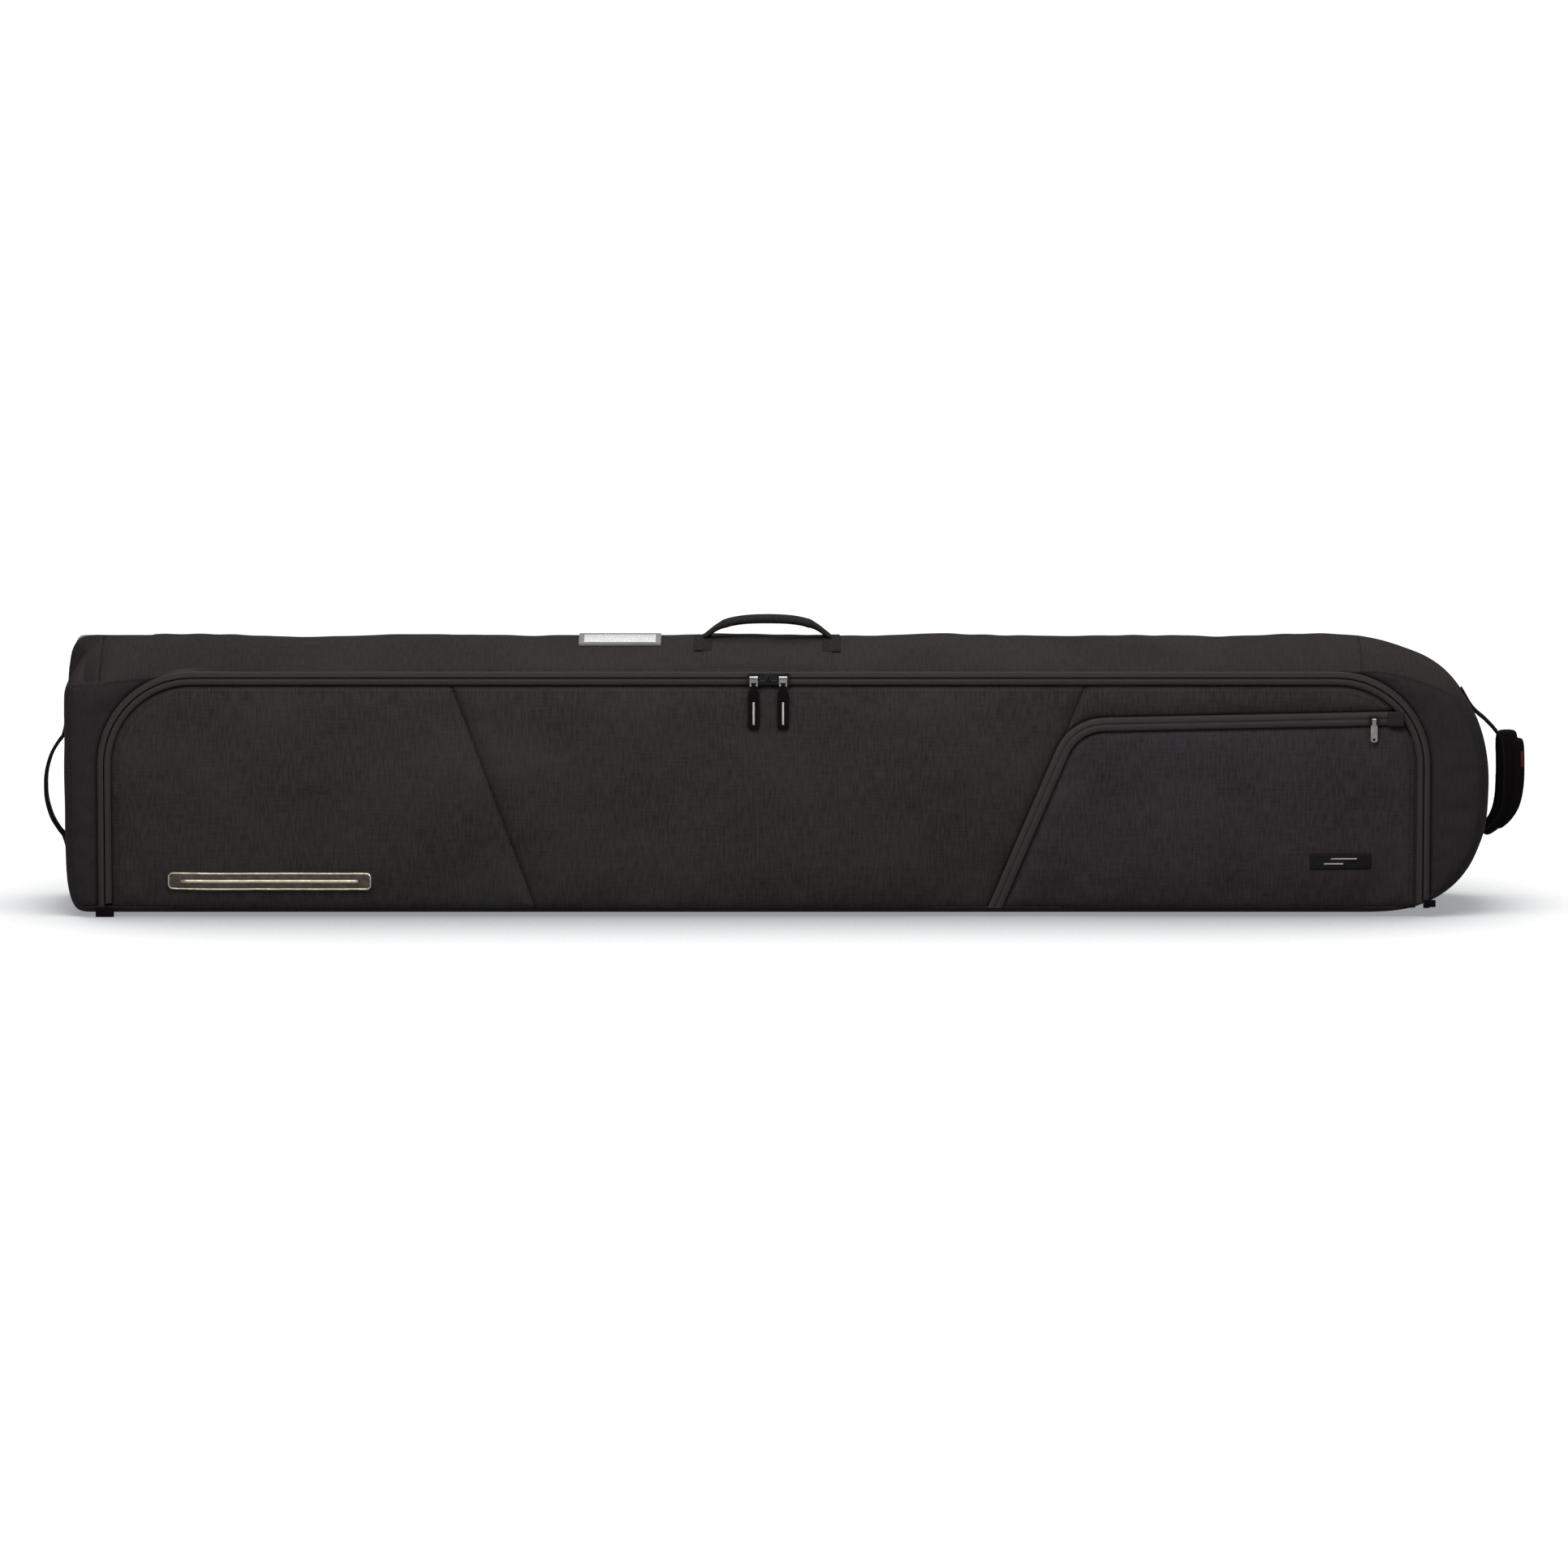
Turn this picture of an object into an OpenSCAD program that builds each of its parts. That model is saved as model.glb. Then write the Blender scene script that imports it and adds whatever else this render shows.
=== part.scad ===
// Wheeled snowboard bag, lying on its long narrow side with its lid to the front.
// X runs from the tail (wheel) end to the nose, -Y is the front, +Z is up.
// The origin is at the middle of the bottom.

/* [Bag] */
// Length of the bag body from tail to nose
bag_l = 1700; // [1690:5:1720]
// Height of the bag body as it lies on its side
bag_h = 325; // [322:1:330]
// Depth from the lid's face to the back face
bag_d = 200; // [196:2:220]
// Radius of the crown across the top gusset
crown_r = 187; // [180:1:230]
// Height of the seam between the front border and the top gusset
seam_z = 296; // [294:0.5:297]

/* [Shell] */
// Thickness of the outer fabric
skin_t = 2.5; // [2:0.1:3]
// Thickness of the foam behind the fabric
foam_t = 6; // [4:0.5:7]
// Thickness of the lining
lining_t = 1.2; // [0.8:0.1:1.5]

/* [Main zip] */
// Height of the straight top run of the main zip
zip_z = 286.5; // [285:0.5:287]
// Corner radius of the main zip
zip_r = 105; // [95:1:115]
// Half of the width of the zip band
band_w = 8.5; // [8:0.5:9]
// Gap between the two halves of the zip
zip_gap = 1.2; // [1:0.1:1.4]

/* [Lid] */
// Height of the lid's hinge line at its bottom seam
hinge_z = 10.4; // [10.3:0.1:11]

/* [Wheels] */
// Diameter of the wheels
wheel_d = 90; // [84:2:92]
// Width of the wheels
wheel_w = 30; // [26:1:32]

/* [Hidden] */
$fn = 64;

// Colours
fabric = "#363132";
gusset_fabric = "#38342f";
trim = "#282324";
tape = "#332d2d";
plastic = "#1c1b1c";
grey_plastic = "#55554f";
metal = "#8c8a86";

// Far enough to reach past the whole bag in any direction
far = 1000;

half_l = bag_l / 2;
half_d = bag_d / 2;
crown_z = bag_h - crown_r;
inner_t = skin_t + foam_t;

// The tail end is a nearly square superellipse, the nose a long round one
tail_bulge = 45;
tail_power = 5;
nose_power = 2.5;
nose_low = 150;
nose_high_l = 200;
end_steps = 9;
tail_seam_x = -half_l + tail_bulge;
nose_seam_x = half_l - nose_low;

plan_r = 25;
base_r = 8;
base_z = 10;

// Main zip
zip_tail_x = -half_l + 50;
zip_nose_x = half_l - 78;
zip_foot_z = hinge_z;
tape_t = 1.2;
coil_w = 2.6;
coil_t = 2.4;
coil_foot_z = zip_foot_z + 5;
foot_tab_w = 22;
foot_tab_t = 2.5;

// Lid
lid_seam_foot = [-286, 260];
lid_seam_head = [-389, 372];
lid_t = inner_t + lining_t;
lid_gap = 0.5;
lid_edge = 13;

// Pocket zip: up a diagonal, round a bend and along to the main zip
pocket_bend = [392, 176];
pocket_bend_r = 55;
pocket_rise = 67;
pocket_run = 1.2;
pocket_end_x = 757;
bend_steps = 6;
pocket_skin_t = 2;
pocket_back_t = 1.2;
pocket_edge = 4;

// Main sliders, their metal tabs and their fabric pullers
slider_x = [-26, 9];
slider_l = 24;
slider_shift = [4.8, -4.8];
slider_half_h = 6;
bridge_t = zip_gap / 2;
plate_gap = 0.5;
plate_t = 2.1;
front_plate_y = -half_d - plate_gap - plate_t;
pull_y = -half_d - 5;
tab_pin_z = zip_z + 1.5;
tab_half_w = 5;
tab_pin_r = 0.9;
tab_barrel_r = 2;
tab_t = 1.6;
puller_pin_z = tab_pin_z - 9;
puller_pin_r = 1;
puller_l = 50;
puller_w = 14;
pin_fit = 0.05;

// Pocket slider and its pull
pocket_slider_x = 712;
pocket_slider_z = pocket_line(0)[bend_steps + 1][1]
    + (pocket_slider_x - pocket_line(0)[bend_steps + 1][0]) * tan(pocket_run);
pocket_slider_l = 12;
pocket_pull_y = -half_d - 4.4;
pocket_pull_l = 27;
pocket_pull_w = 8;
pocket_pin_r = 0.7;
garage = [738, 238];
garage_size = [20, 18, 4.6];

// Plates on the lid
badge_at = [-603, 44];
badge_size = [244, 22, 2.4];
label_at = [673, 68];
label_size = [74, 20, 1];

// Wheels and their housings
wheel_x = -half_l + 47;
wheel_y = half_d - 35;
wheel_z = [50, 262];
housing_x = -half_l + 105;
housing_y = 10;
housing_z = [92, 233];
housing_t = 3;
well_gap = 4;
side_gap = 3;
axle_r = 4;
axle_head = 2;
hub_r = 30;
hub_hole_r = 5;
bearing_r = 11;
bearing_t = 7;
screw_r = 1.6;
screw_head_r = 3.5;
screw_head_t = 1.4;
screw_x = [-half_l + 28, -half_l + 88];
screw_z = [[15, 82], [237, 289.5]];

// Handles: where they are, their half spans and how far they stand out
top_handle_x = -10;
top_handle_y = -18;
tail_handle_z = 145;
nose_handle_z = 157;
top_span = 66;
tail_span = 56;
nose_span = 62;
top_rise = 14.5;
tail_rise = 20.5;
nose_rise = 27;
webbing_t = 3;
top_webbing_w = 30;
tail_webbing_w = 25;
nose_webbing_w = 20;
pivot_r = 2.5;
tunnel_r = 4.2;
tunnel_l = 10;
foot_w = 25;
patch_t = 1.5;
patch_half_w = 81;
patch_y = 96;

// Address window on the crown of the top gusset
card_x = [-235, -137];
card_y = [-46, 16];
card_rim = 6;

// Straps inside, across the back wall
strap_x = [-380, 380];
strap_w = 38;
strap_t = 1.5;
buckle_z = 170;
lining_y = half_d - inner_t - lining_t;
buckle_w = 48;
buckle_t = 9;
buckle_wall = 2;
buckle_y = lining_y - strap_t - 0.4;
strap_slot = strap_w / 2 + 0.5;

// ---- Shapes shared by several parts ----

// One quarter of a superellipse, from its horizontal axis to its vertical one
function superquarter(a, b, power) = [
    for (i = [0 : end_steps])
        let (t = 90 * i / end_steps)
        [a * pow(cos(t), 2 / power), b * pow(sin(t), 2 / power)]
];

function reversed(list) = [for (i = [len(list) - 1 : -1 : 0]) list[i]];

function moved(list, sx, sz, x, z) = [for (p = list) [x + sx * p[0], z + sz * p[1]]];

// The bag's outline seen from the front, moved in by t
function side_outline(t) =
    let (
        nose_foot = superquarter(nose_low - t, nose_low - t, nose_power),
        nose_head = superquarter(nose_high_l - t, bag_h - nose_low - t, nose_power),
        tail = superquarter(tail_bulge - t, bag_h / 2 - t, tail_power)
    )
    concat(
        reversed(moved(nose_foot, 1, -1, half_l - nose_low, nose_low)),
        moved(nose_head, 1, 1, half_l - nose_high_l, nose_low),
        reversed(moved(tail, -1, 1, tail_seam_x, bag_h / 2)),
        moved(tail, -1, -1, tail_seam_x, bag_h / 2)
    );

// Stands a shape drawn in X and Z up between two depths
module front_slab(y0, y1) {
    translate([0, y1, 0])
        rotate([90, 0, 0])
            linear_extrude(y1 - y0)
                children();
}

module box(low, high) {
    translate(low)
        cube(high - low);
}

module rounded_rect(w, h, r) {
    square([w - 2 * r, h], center = true);
    square([w, h - 2 * r], center = true);
    for (x = [-1, 1], y = [-1, 1])
        translate([x * (w / 2 - r), y * (h / 2 - r)])
            circle(r);
}

// Cross-section of the bag: flat sides, a crowned top and a rounded foot
module cross_section(t) {
    intersection() {
        translate([0, crown_z])
            circle(crown_r - t);
        union() {
            translate([-half_d + base_r, t])
                square([bag_d - 2 * base_r, bag_h]);
            translate([-half_d + t, base_r])
                square([bag_d - 2 * t, bag_h]);
            for (side = [-1, 1])
                translate([side * (half_d - base_r), base_r])
                    circle(base_r - min(t, base_r - 1));
        }
    }
}

// The whole bag as one solid, moved in by t on every side
module envelope(t) {
    intersection() {
        front_slab(-far, far)
            polygon(side_outline(t));
        rotate([90, 0, 90])
            linear_extrude(2 * bag_l, center = true)
                cross_section(t);
        linear_extrude(2 * bag_h)
            rounded_rect(bag_l - 2 * t, bag_d - 2 * t, plan_r - t);
    }
}

module envelope_layer(outer, inner) {
    difference() {
        envelope(outer);
        envelope(inner);
    }
}

// The two corners at the tail that the wheel housings fill
module housing_corners() {
    box([-far, housing_y, -far], [housing_x, far, housing_z[0]]);
    box([-far, housing_y, housing_z[1]], [housing_x, far, far]);
}

// A part of the outer fabric, cut by whatever box is given
module fabric_panel() {
    difference() {
        intersection() {
            envelope_layer(0, skin_t);
            children();
        }
        housing_corners();
    }
}

// Everything inside the main zip's centre line, moved in by d
module zip_inside(d) {
    r = zip_r - d;
    low_x = zip_tail_x + d;
    high_x = zip_nose_x - d;
    top_z = zip_z - d;
    translate([low_x, zip_foot_z])
        square([high_x - low_x, top_z - r - zip_foot_z]);
    translate([low_x + r, zip_foot_z])
        square([high_x - low_x - 2 * r, top_z - zip_foot_z]);
    for (x = [low_x + r, high_x - r])
        translate([x, top_z - r])
            circle(r);
}

// A band along the main zip between two distances from its centre line
module zip_band(outer, inner) {
    difference() {
        zip_inside(outer);
        zip_inside(inner);
    }
}

// Everything to the nose side of one of the lid's slanting seams
module past_lid_seam(i) {
    slope = (lid_seam_head[i] - lid_seam_foot[i]) / (zip_z - zip_foot_z);
    foot_x = lid_seam_foot[i] - slope * zip_foot_z;
    head_x = lid_seam_foot[i] + slope * (bag_h - zip_foot_z);
    polygon([[foot_x, 0], [far, 0], [far, bag_h], [head_x, bag_h]]);
}

// A point at distance r from the middle of the pocket zip's bend
function bend_point(r, angle) = pocket_bend + r * [cos(angle), sin(angle)];

// The pocket zip's line, moved out by d, from its foot to its end at the main zip
function pocket_line(d) =
    let (
        r = pocket_bend_r + d,
        first = bend_point(r, pocket_rise + 90),
        last = bend_point(r, pocket_run + 90),
        foot_x = first[0] - (first[1] - zip_foot_z) / tan(pocket_rise),
        end_z = last[1] + (pocket_end_x - last[0]) * tan(pocket_run)
    )
    concat(
        [[foot_x, zip_foot_z]],
        [for (i = [0 : bend_steps])
            bend_point(r, 90 + pocket_rise + (pocket_run - pocket_rise) * i / bend_steps)],
        [[pocket_end_x, end_z]]
    );

// The area under the pocket zip's line, moved out by d
module pocket_area(d) {
    line = pocket_line(d);
    intersection() {
        polygon(concat(line, [[far, line[len(line) - 1][1]], [far, zip_foot_z]]));
        zip_inside(band_w);
    }
}

// ---- Shell ----

module back_panel() {
    color(fabric)
        fabric_panel()
            box([-far, half_d - skin_t, base_z], [far, far, seam_z]);
}

module top_gusset() {
    color(gusset_fabric)
        fabric_panel()
            box([tail_seam_x, -far, seam_z], [nose_seam_x, far, far]);
}

module bottom_gusset() {
    color(fabric)
        fabric_panel()
            box([tail_seam_x, -far, -far], [nose_seam_x, far, base_z]);
}

// An end panel reaches from front to back, and over the ends of the gussets
module end_panel(low_x, high_x) {
    color(fabric)
        fabric_panel()
            difference() {
                box([low_x, -far, -far], [high_x, far, far]);
                for (side = [-1, 1])
                    box([-far, side * (half_d + far / 2 - skin_t) - far / 2, base_z],
                        [far, side * (half_d + far / 2 - skin_t) + far / 2, seam_z]);
            }
}

module tail_end_panel() {
    end_panel(-far, tail_seam_x);
}

module nose_end_panel() {
    end_panel(nose_seam_x, far);
}

module front_border() {
    color(fabric)
        difference() {
            fabric_panel()
                box([-far, -far, base_z], [far, -half_d + skin_t, seam_z]);
            front_slab(-far, far)
                zip_inside(-band_w);
            box([zip_tail_x, -far, -far], [zip_nose_x, far, zip_foot_z]);
        }
}

module tub_layer(outer, inner) {
    difference() {
        envelope_layer(outer, inner);
        housing_corners();
        box([-far, -far, -far], [far, -half_d + lid_t + lid_gap, far]);
    }
}

module tub_foam() {
    color("#707070")
        tub_layer(skin_t, inner_t);
}

module tub_lining() {
    color("#46484c")
        tub_layer(inner_t, inner_t + lining_t);
}

module zip_tape(outer, inner) {
    color(tape)
        front_slab(-half_d, -half_d + tape_t)
            zip_band(outer, inner);
}

module zip_coil(outer, inner) {
    color(plastic)
        front_slab(-half_d + tape_t, -half_d + tape_t + coil_t)
            difference() {
                zip_band(outer, inner);
                translate([-far, 0])
                    square([2 * far, coil_foot_z]);
            }
}

module shell_zip_tape() {
    zip_tape(-band_w, -zip_gap / 2);
}

module shell_zip_coil() {
    zip_coil(-zip_gap / 2 - coil_w, -zip_gap / 2);
}

// Short webbing tab folded over the foot of the zip at the tail
module zip_foot_tab_tail() {
    color(plastic)
        translate([zip_tail_x - foot_tab_w / 2, -half_d - foot_tab_t, 0.3])
            cube([foot_tab_w, foot_tab_t, base_z - 0.3]);
}

// Smaller tab beside the foot of the zip at the nose
module zip_foot_tab_nose() {
    color(plastic)
        translate([zip_nose_x + zip_gap, -half_d - 1.8, zip_foot_z + 1.6])
            cube([14, 1.8, 6.4]);
}

// A layer lying on the crown of the top gusset, above it by low to high
module crown_layer(low, high, x0, x1, y0, y1) {
    intersection() {
        translate([(x0 + x1) / 2, 0, crown_z])
            rotate([0, 90, 0])
                difference() {
                    cylinder(r = crown_r + high, h = x1 - x0, center = true);
                    cylinder(r = crown_r + low, h = x1 - x0 + 1, center = true);
                }
        box([x0, y0, 0], [x1, y1, far]);
    }
}

module handle_patch() {
    color(gusset_fabric)
        crown_layer(0, patch_t, top_handle_x - patch_half_w, top_handle_x + patch_half_w,
                    -patch_y, patch_y);
}

module window_layer(low, high, rim) {
    crown_layer(low, high, card_x[0] + rim, card_x[1] - rim, card_y[0] + rim, card_y[1] - rim);
}

module id_window_frame() {
    color(grey_plastic)
        difference() {
            window_layer(0, 2.2, 0);
            window_layer(-1, 4, card_rim);
        }
}

module id_card() {
    color("#dad7d3")
        window_layer(0.2, 0.6, card_rim);
}

module id_window() {
    color("#c8ccd0", 0.5)
        window_layer(1.2, 1.8, card_rim);
}

// ---- Wheels at the tail ----

module wheel_place(i) {
    translate([wheel_x, wheel_y, wheel_z[i]])
        children();
}

// The space that a wheel turns in, open to the back and to the tail
module wheel_well(i, wall) {
    reach = wheel_d / 2 + well_gap + wall;
    width = wheel_w / 2 + side_gap + wall;
    wheel_place(i)
        box([-far, -reach, -width], [reach, far, width]);
}

// Round pegs at the screws of one housing, in its back face
module screws(i, r, y0, y1) {
    for (x = screw_x, z = screw_z[i])
        translate([x, y0, z])
            rotate([-90, 0, 0])
                cylinder(r = r, h = y1 - y0);
}

module wheel_housing(i) {
    low = [-far, housing_y, i == 0 ? -far : housing_z[1]];
    high = [housing_x, far, i == 0 ? housing_z[0] : far];
    wall = [housing_t, housing_t, housing_t];
    color(grey_plastic)
        difference() {
            intersection() {
                envelope(0);
                box(low, high);
            }
            difference() {
                intersection() {
                    envelope(housing_t);
                    box(low + wall, high - [-1, housing_t, housing_t]);
                }
                wheel_well(i, housing_t);
            }
            wheel_well(i, 0);
            wheel_place(i)
                cylinder(r = axle_r, h = 2 * wheel_d, center = true);
            screws(i, screw_r, half_d - 8, half_d + 1);
        }
}

module wheel_housing_lower() {
    wheel_housing(0);
}

module wheel_housing_upper() {
    wheel_housing(1);
}

// Axle pins with a head at each end, outside the walls of the wells
module wheel_axles() {
    wall = wheel_w / 2 + side_gap + housing_t;
    color(metal)
        for (i = [0, 1])
            wheel_place(i) {
                cylinder(r = axle_r, h = 2 * wall, center = true);
                for (side = [-1, 1])
                    translate([0, 0, side * (wall + axle_head / 2)])
                        cylinder(r = axle_r + axle_head, h = axle_head, center = true);
            }
}

module housing_screws() {
    color(metal)
        for (i = [0, 1]) {
            screws(i, screw_r, half_d - 6, half_d);
            screws(i, screw_head_r, half_d, half_d + screw_head_t);
        }
}

// Hub bored for the axle, with a seat for a bearing in each side and a ring of holes
module wheel_hub(i) {
    color("#8f8f8d")
        wheel_place(i)
            difference() {
                union() {
                    cylinder(r = hub_r, h = wheel_w - 6, center = true);
                    cylinder(r = bearing_r + 3, h = wheel_w, center = true);
                }
                cylinder(r = axle_r + 1, h = 2 * wheel_w, center = true);
                for (side = [-1, 1])
                    translate([0, 0, side * wheel_w / 2])
                        cylinder(r = bearing_r, h = 2 * bearing_t, center = true);
                for (a = [0 : 60 : 300])
                    rotate([0, 0, a])
                        translate([(hub_r + bearing_r) / 2 + 1, 0, 0])
                            cylinder(r = hub_hole_r, h = 2 * wheel_w, center = true);
            }
}

module wheel_tyre(i) {
    color("#202020")
        wheel_place(i)
            difference() {
                intersection() {
                    cylinder(r = wheel_d / 2, h = wheel_w, center = true);
                    sphere(r = wheel_d / 2 + 2);
                }
                cylinder(r = hub_r, h = 2 * wheel_w, center = true);
            }
}

module wheel_hub_lower() {
    wheel_hub(0);
}

module wheel_hub_upper() {
    wheel_hub(1);
}

module wheel_tyre_lower() {
    wheel_tyre(0);
}

module wheel_tyre_upper() {
    wheel_tyre(1);
}

module wheel_bearings(i) {
    color(metal)
        wheel_place(i)
            for (side = [-1, 1])
                translate([0, 0, side * (wheel_w / 2 - bearing_t / 2)])
                    difference() {
                        cylinder(r = bearing_r, h = bearing_t, center = true);
                        cylinder(r = axle_r + pin_fit, h = 2 * bearing_t, center = true);
                    }
}

module wheel_bearings_lower() {
    wheel_bearings(0);
}

module wheel_bearings_upper() {
    wheel_bearings(1);
}

// ---- Handles ----

// Each handle is drawn with its span along X and standing up in Z, on its pivot line
module top_place() {
    translate([top_handle_x, top_handle_y, bag_h + patch_t + tunnel_r + 0.3])
        children();
}

module tail_place() {
    translate([-half_l - tunnel_r - 0.3, 0, tail_handle_z])
        rotate([0, -90, 0])
            children();
}

module nose_place() {
    translate([half_l + 1.5, 0, nose_handle_z])
        rotate([0, 90, 0])
            children();
}

// Points of an arch that is 2 a wide and b high
function arch_points(a, b) =
    let (quarter = superquarter(a, b, 2.6))
    concat(quarter, reversed([for (p = quarter) [-p[0], p[1]]]));

// Webbing arch, wide above the height wide_z and folded narrow below it
module webbing_arch(half_span, rise, width, wide_z) {
    module arch() {
        difference() {
            polygon(arch_points(half_span + webbing_t / 2, rise));
            polygon(arch_points(half_span - webbing_t / 2, rise - webbing_t));
        }
    }
    front_slab(-pivot_r, pivot_r)
        arch();
    front_slab(-width / 2, width / 2)
        intersection() {
            arch();
            translate([-far, wide_z])
                square([2 * far, far]);
        }
    for (side = [-1, 1])
        translate([side * (half_span + tunnel_l / 2), 0, 0])
            rotate([0, 90, 0])
                cylinder(r = pivot_r, h = tunnel_l, center = true);
}

// Sewn tunnels that hold the folded ends of a handle, on feet that drop to low_z
module tunnels(half_span, low_z) {
    for (side = [-1, 1])
        translate([side * (half_span + tunnel_l / 2 + 1.5), 0, 0])
            rotate([0, 90, 0])
                difference() {
                    union() {
                        cylinder(r = tunnel_r, h = tunnel_l, center = true);
                        box([0, -foot_w / 2, -tunnel_l / 2], [-low_z, foot_w / 2, tunnel_l / 2]);
                    }
                    cylinder(r = pivot_r + pin_fit, h = 2 * tunnel_l, center = true);
                }
}

module handle_anchors() {
    color(trim) {
        difference() {
            top_place()
                tunnels(top_span, -9);
            envelope(0);
            crown_layer(-1, patch_t, top_handle_x - patch_half_w - 1,
                        top_handle_x + patch_half_w + 1, -patch_y, patch_y);
        }
        difference() {
            tail_place()
                tunnels(tail_span, -8);
            envelope(0);
        }
        difference() {
            nose_place()
                tunnels(nose_span, -18);
            envelope(0);
        }
    }
}

module top_arch() {
    webbing_arch(top_span, top_rise, top_webbing_w, 8);
}

module nose_arch() {
    webbing_arch(nose_span, nose_rise, nose_webbing_w, 16);
}

module top_handle_webbing() {
    color(trim)
        top_place()
            top_arch();
}

// Padded sleeve round the middle of the top handle
module top_handle_grip() {
    sleeve_l = 92;
    sleeve_t = 11;
    color(trim)
        top_place()
            difference() {
                rotate([90, 0, 90])
                    linear_extrude(sleeve_l, center = true)
                        translate([0, top_rise - webbing_t / 2])
                            rounded_rect(top_webbing_w + 4, sleeve_t, sleeve_t / 2 - 0.1);
                top_arch();
            }
}

module tail_handle_webbing() {
    color(trim)
        tail_place()
            webbing_arch(tail_span, tail_rise, tail_webbing_w, 11);
}

module nose_handle_webbing() {
    color(trim)
        nose_place()
            nose_arch();
}

// Thick padded wrap round the nose handle
module nose_handle_grip() {
    wrap_l = 112;
    color("#1b181a")
        nose_place()
            difference() {
                rotate([90, 0, 90])
                    linear_extrude(wrap_l, center = true)
                        translate([0, nose_rise - 2.5])
                            rounded_rect(22, 37, 10.9);
                nose_arch();
            }
}

// Small woven tag on the front of the wrap
module nose_handle_tag() {
    color("#5a1c22")
        nose_place()
            translate([-8, -11.8, nose_rise + 2])
                cube([20, 0.7, 5]);
}

// ---- Straps inside ----

module at_straps() {
    for (x = strap_x)
        translate([x, 0, 0])
            children();
}

module flat_webbing(z0, z1) {
    box([-strap_w / 2, lining_y - strap_t, z0], [strap_w / 2, lining_y, z1]);
}

module strap_lower_webbing() {
    color(trim)
        at_straps()
            flat_webbing(20, buckle_z - 24);
}

module strap_upper_webbing() {
    color(trim)
        at_straps()
            flat_webbing(buckle_z + 4, 280);
}

// A box in one buckle, with Y0 and Y1 measured forward from the strap
module buckle_box(half_w, y0, y1, z0, z1) {
    box([-half_w, buckle_y - y1, buckle_z + z0], [half_w, buckle_y - y0, buckle_z + z1]);
}

// Side-release buckle: the socket is open at its top and at both sides
module buckle_sockets() {
    inner = buckle_t - buckle_wall;
    color(plastic)
        at_straps()
            difference() {
                buckle_box(buckle_w / 2, -0.4, buckle_t, -34, 0);
                buckle_box(buckle_w / 2 - 7, buckle_wall, inner, -26, 1);
                buckle_box(buckle_w, buckle_wall, inner, -22, -12);
                buckle_box(strap_slot, -1, buckle_t + 1, -32, -29);
            }
}

// The plug: a bar for the strap, two spring arms and a guide between them
module buckle_plug(i) {
    arm_y0 = buckle_wall + 0.4;
    arm_y1 = buckle_t - arm_y0;
    color(plastic)
        translate([strap_x[i], 0, 0])
            difference() {
                union() {
                    buckle_box(buckle_w / 2, 0.2, buckle_t, 0.5, 26);
                    for (side = [-1, 1])
                        translate([side * 13.2, 0, 0])
                            buckle_box(3, arm_y0, arm_y1, -20, 1);
                    buckle_box(2, arm_y0, arm_y1, -24, 1);
                }
                for (slot_z = [8, 18])
                    buckle_box(strap_slot, -1, buckle_t + 1, slot_z, slot_z + 3);
            }
}

module buckle_plug_tail() {
    buckle_plug(0);
}

module buckle_plug_nose() {
    buckle_plug(1);
}

// ---- Lid ----

module lid_fabric() {
    color(fabric)
        front_slab(-half_d, -half_d + skin_t)
            difference() {
                intersection() {
                    zip_inside(band_w);
                    children();
                }
                pocket_area(band_w);
            }
}

module lid_tail_panel() {
    lid_fabric()
        difference() {
            translate([-far, 0])
                square([2 * far, bag_h]);
            past_lid_seam(0);
        }
}

module lid_centre_panel() {
    lid_fabric()
        difference() {
            past_lid_seam(0);
            past_lid_seam(1);
        }
}

module lid_nose_panel() {
    lid_fabric()
        past_lid_seam(1);
}

module lid_foam() {
    color("#707070")
        front_slab(-half_d + skin_t, -half_d + inner_t)
            difference() {
                zip_inside(lid_edge);
                pocket_area(band_w);
            }
}

module lid_lining() {
    color("#46484c")
        front_slab(-half_d + inner_t, -half_d + inner_t + lining_t)
            zip_inside(lid_edge);
}

module lid_zip_tape() {
    zip_tape(zip_gap / 2, band_w);
}

module lid_zip_coil() {
    zip_coil(zip_gap / 2, zip_gap / 2 + coil_w);
}

module pocket_panel() {
    color("#2e2a2c")
        front_slab(-half_d, -half_d + pocket_skin_t)
            pocket_area(-band_w);
}

// Back of the pocket, with the sewn edge that joins it to the pocket panel
module pocket_back_panel() {
    back_y = -half_d + inner_t - pocket_back_t;
    color(fabric) {
        front_slab(back_y, -half_d + inner_t)
            intersection() {
                pocket_area(band_w);
                zip_inside(lid_edge);
            }
        front_slab(-half_d + pocket_skin_t, back_y)
            intersection() {
                pocket_area(-band_w);
                difference() {
                    zip_inside(lid_edge);
                    translate([-far, zip_foot_z + pocket_edge])
                        square([far + zip_nose_x - lid_edge - pocket_edge, bag_h]);
                }
            }
    }
}

module pocket_zip_tape() {
    color(tape)
        front_slab(-half_d, -half_d + tape_t)
            difference() {
                pocket_area(band_w);
                pocket_area(-band_w);
            }
}

module pocket_zip_coil() {
    color(plastic)
        front_slab(-half_d + tape_t, -half_d + tape_t + coil_t)
            difference() {
                pocket_area(coil_w);
                pocket_area(-coil_w);
            }
}

// A flat piece on the front of the lid: size is its length, height and thickness
module lid_plate(at, size, corner_r) {
    front_slab(-half_d - size[2], -half_d)
        translate(at)
            rounded_rect(size[0], size[1], corner_r);
}

// Folded cover over the closed end of the pocket zip
module pocket_zip_garage() {
    color(plastic)
        lid_plate(garage, garage_size, 4);
}

// Plain metal plate, with no lettering
module badge() {
    color("#9a8d7c")
        lid_plate(badge_at, badge_size, 5);
}

// Plain woven label, with no lettering
module size_label() {
    color("#1a191a")
        lid_plate(label_at, label_size, 2);
}

// ---- Sliders and pulls ----

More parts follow.
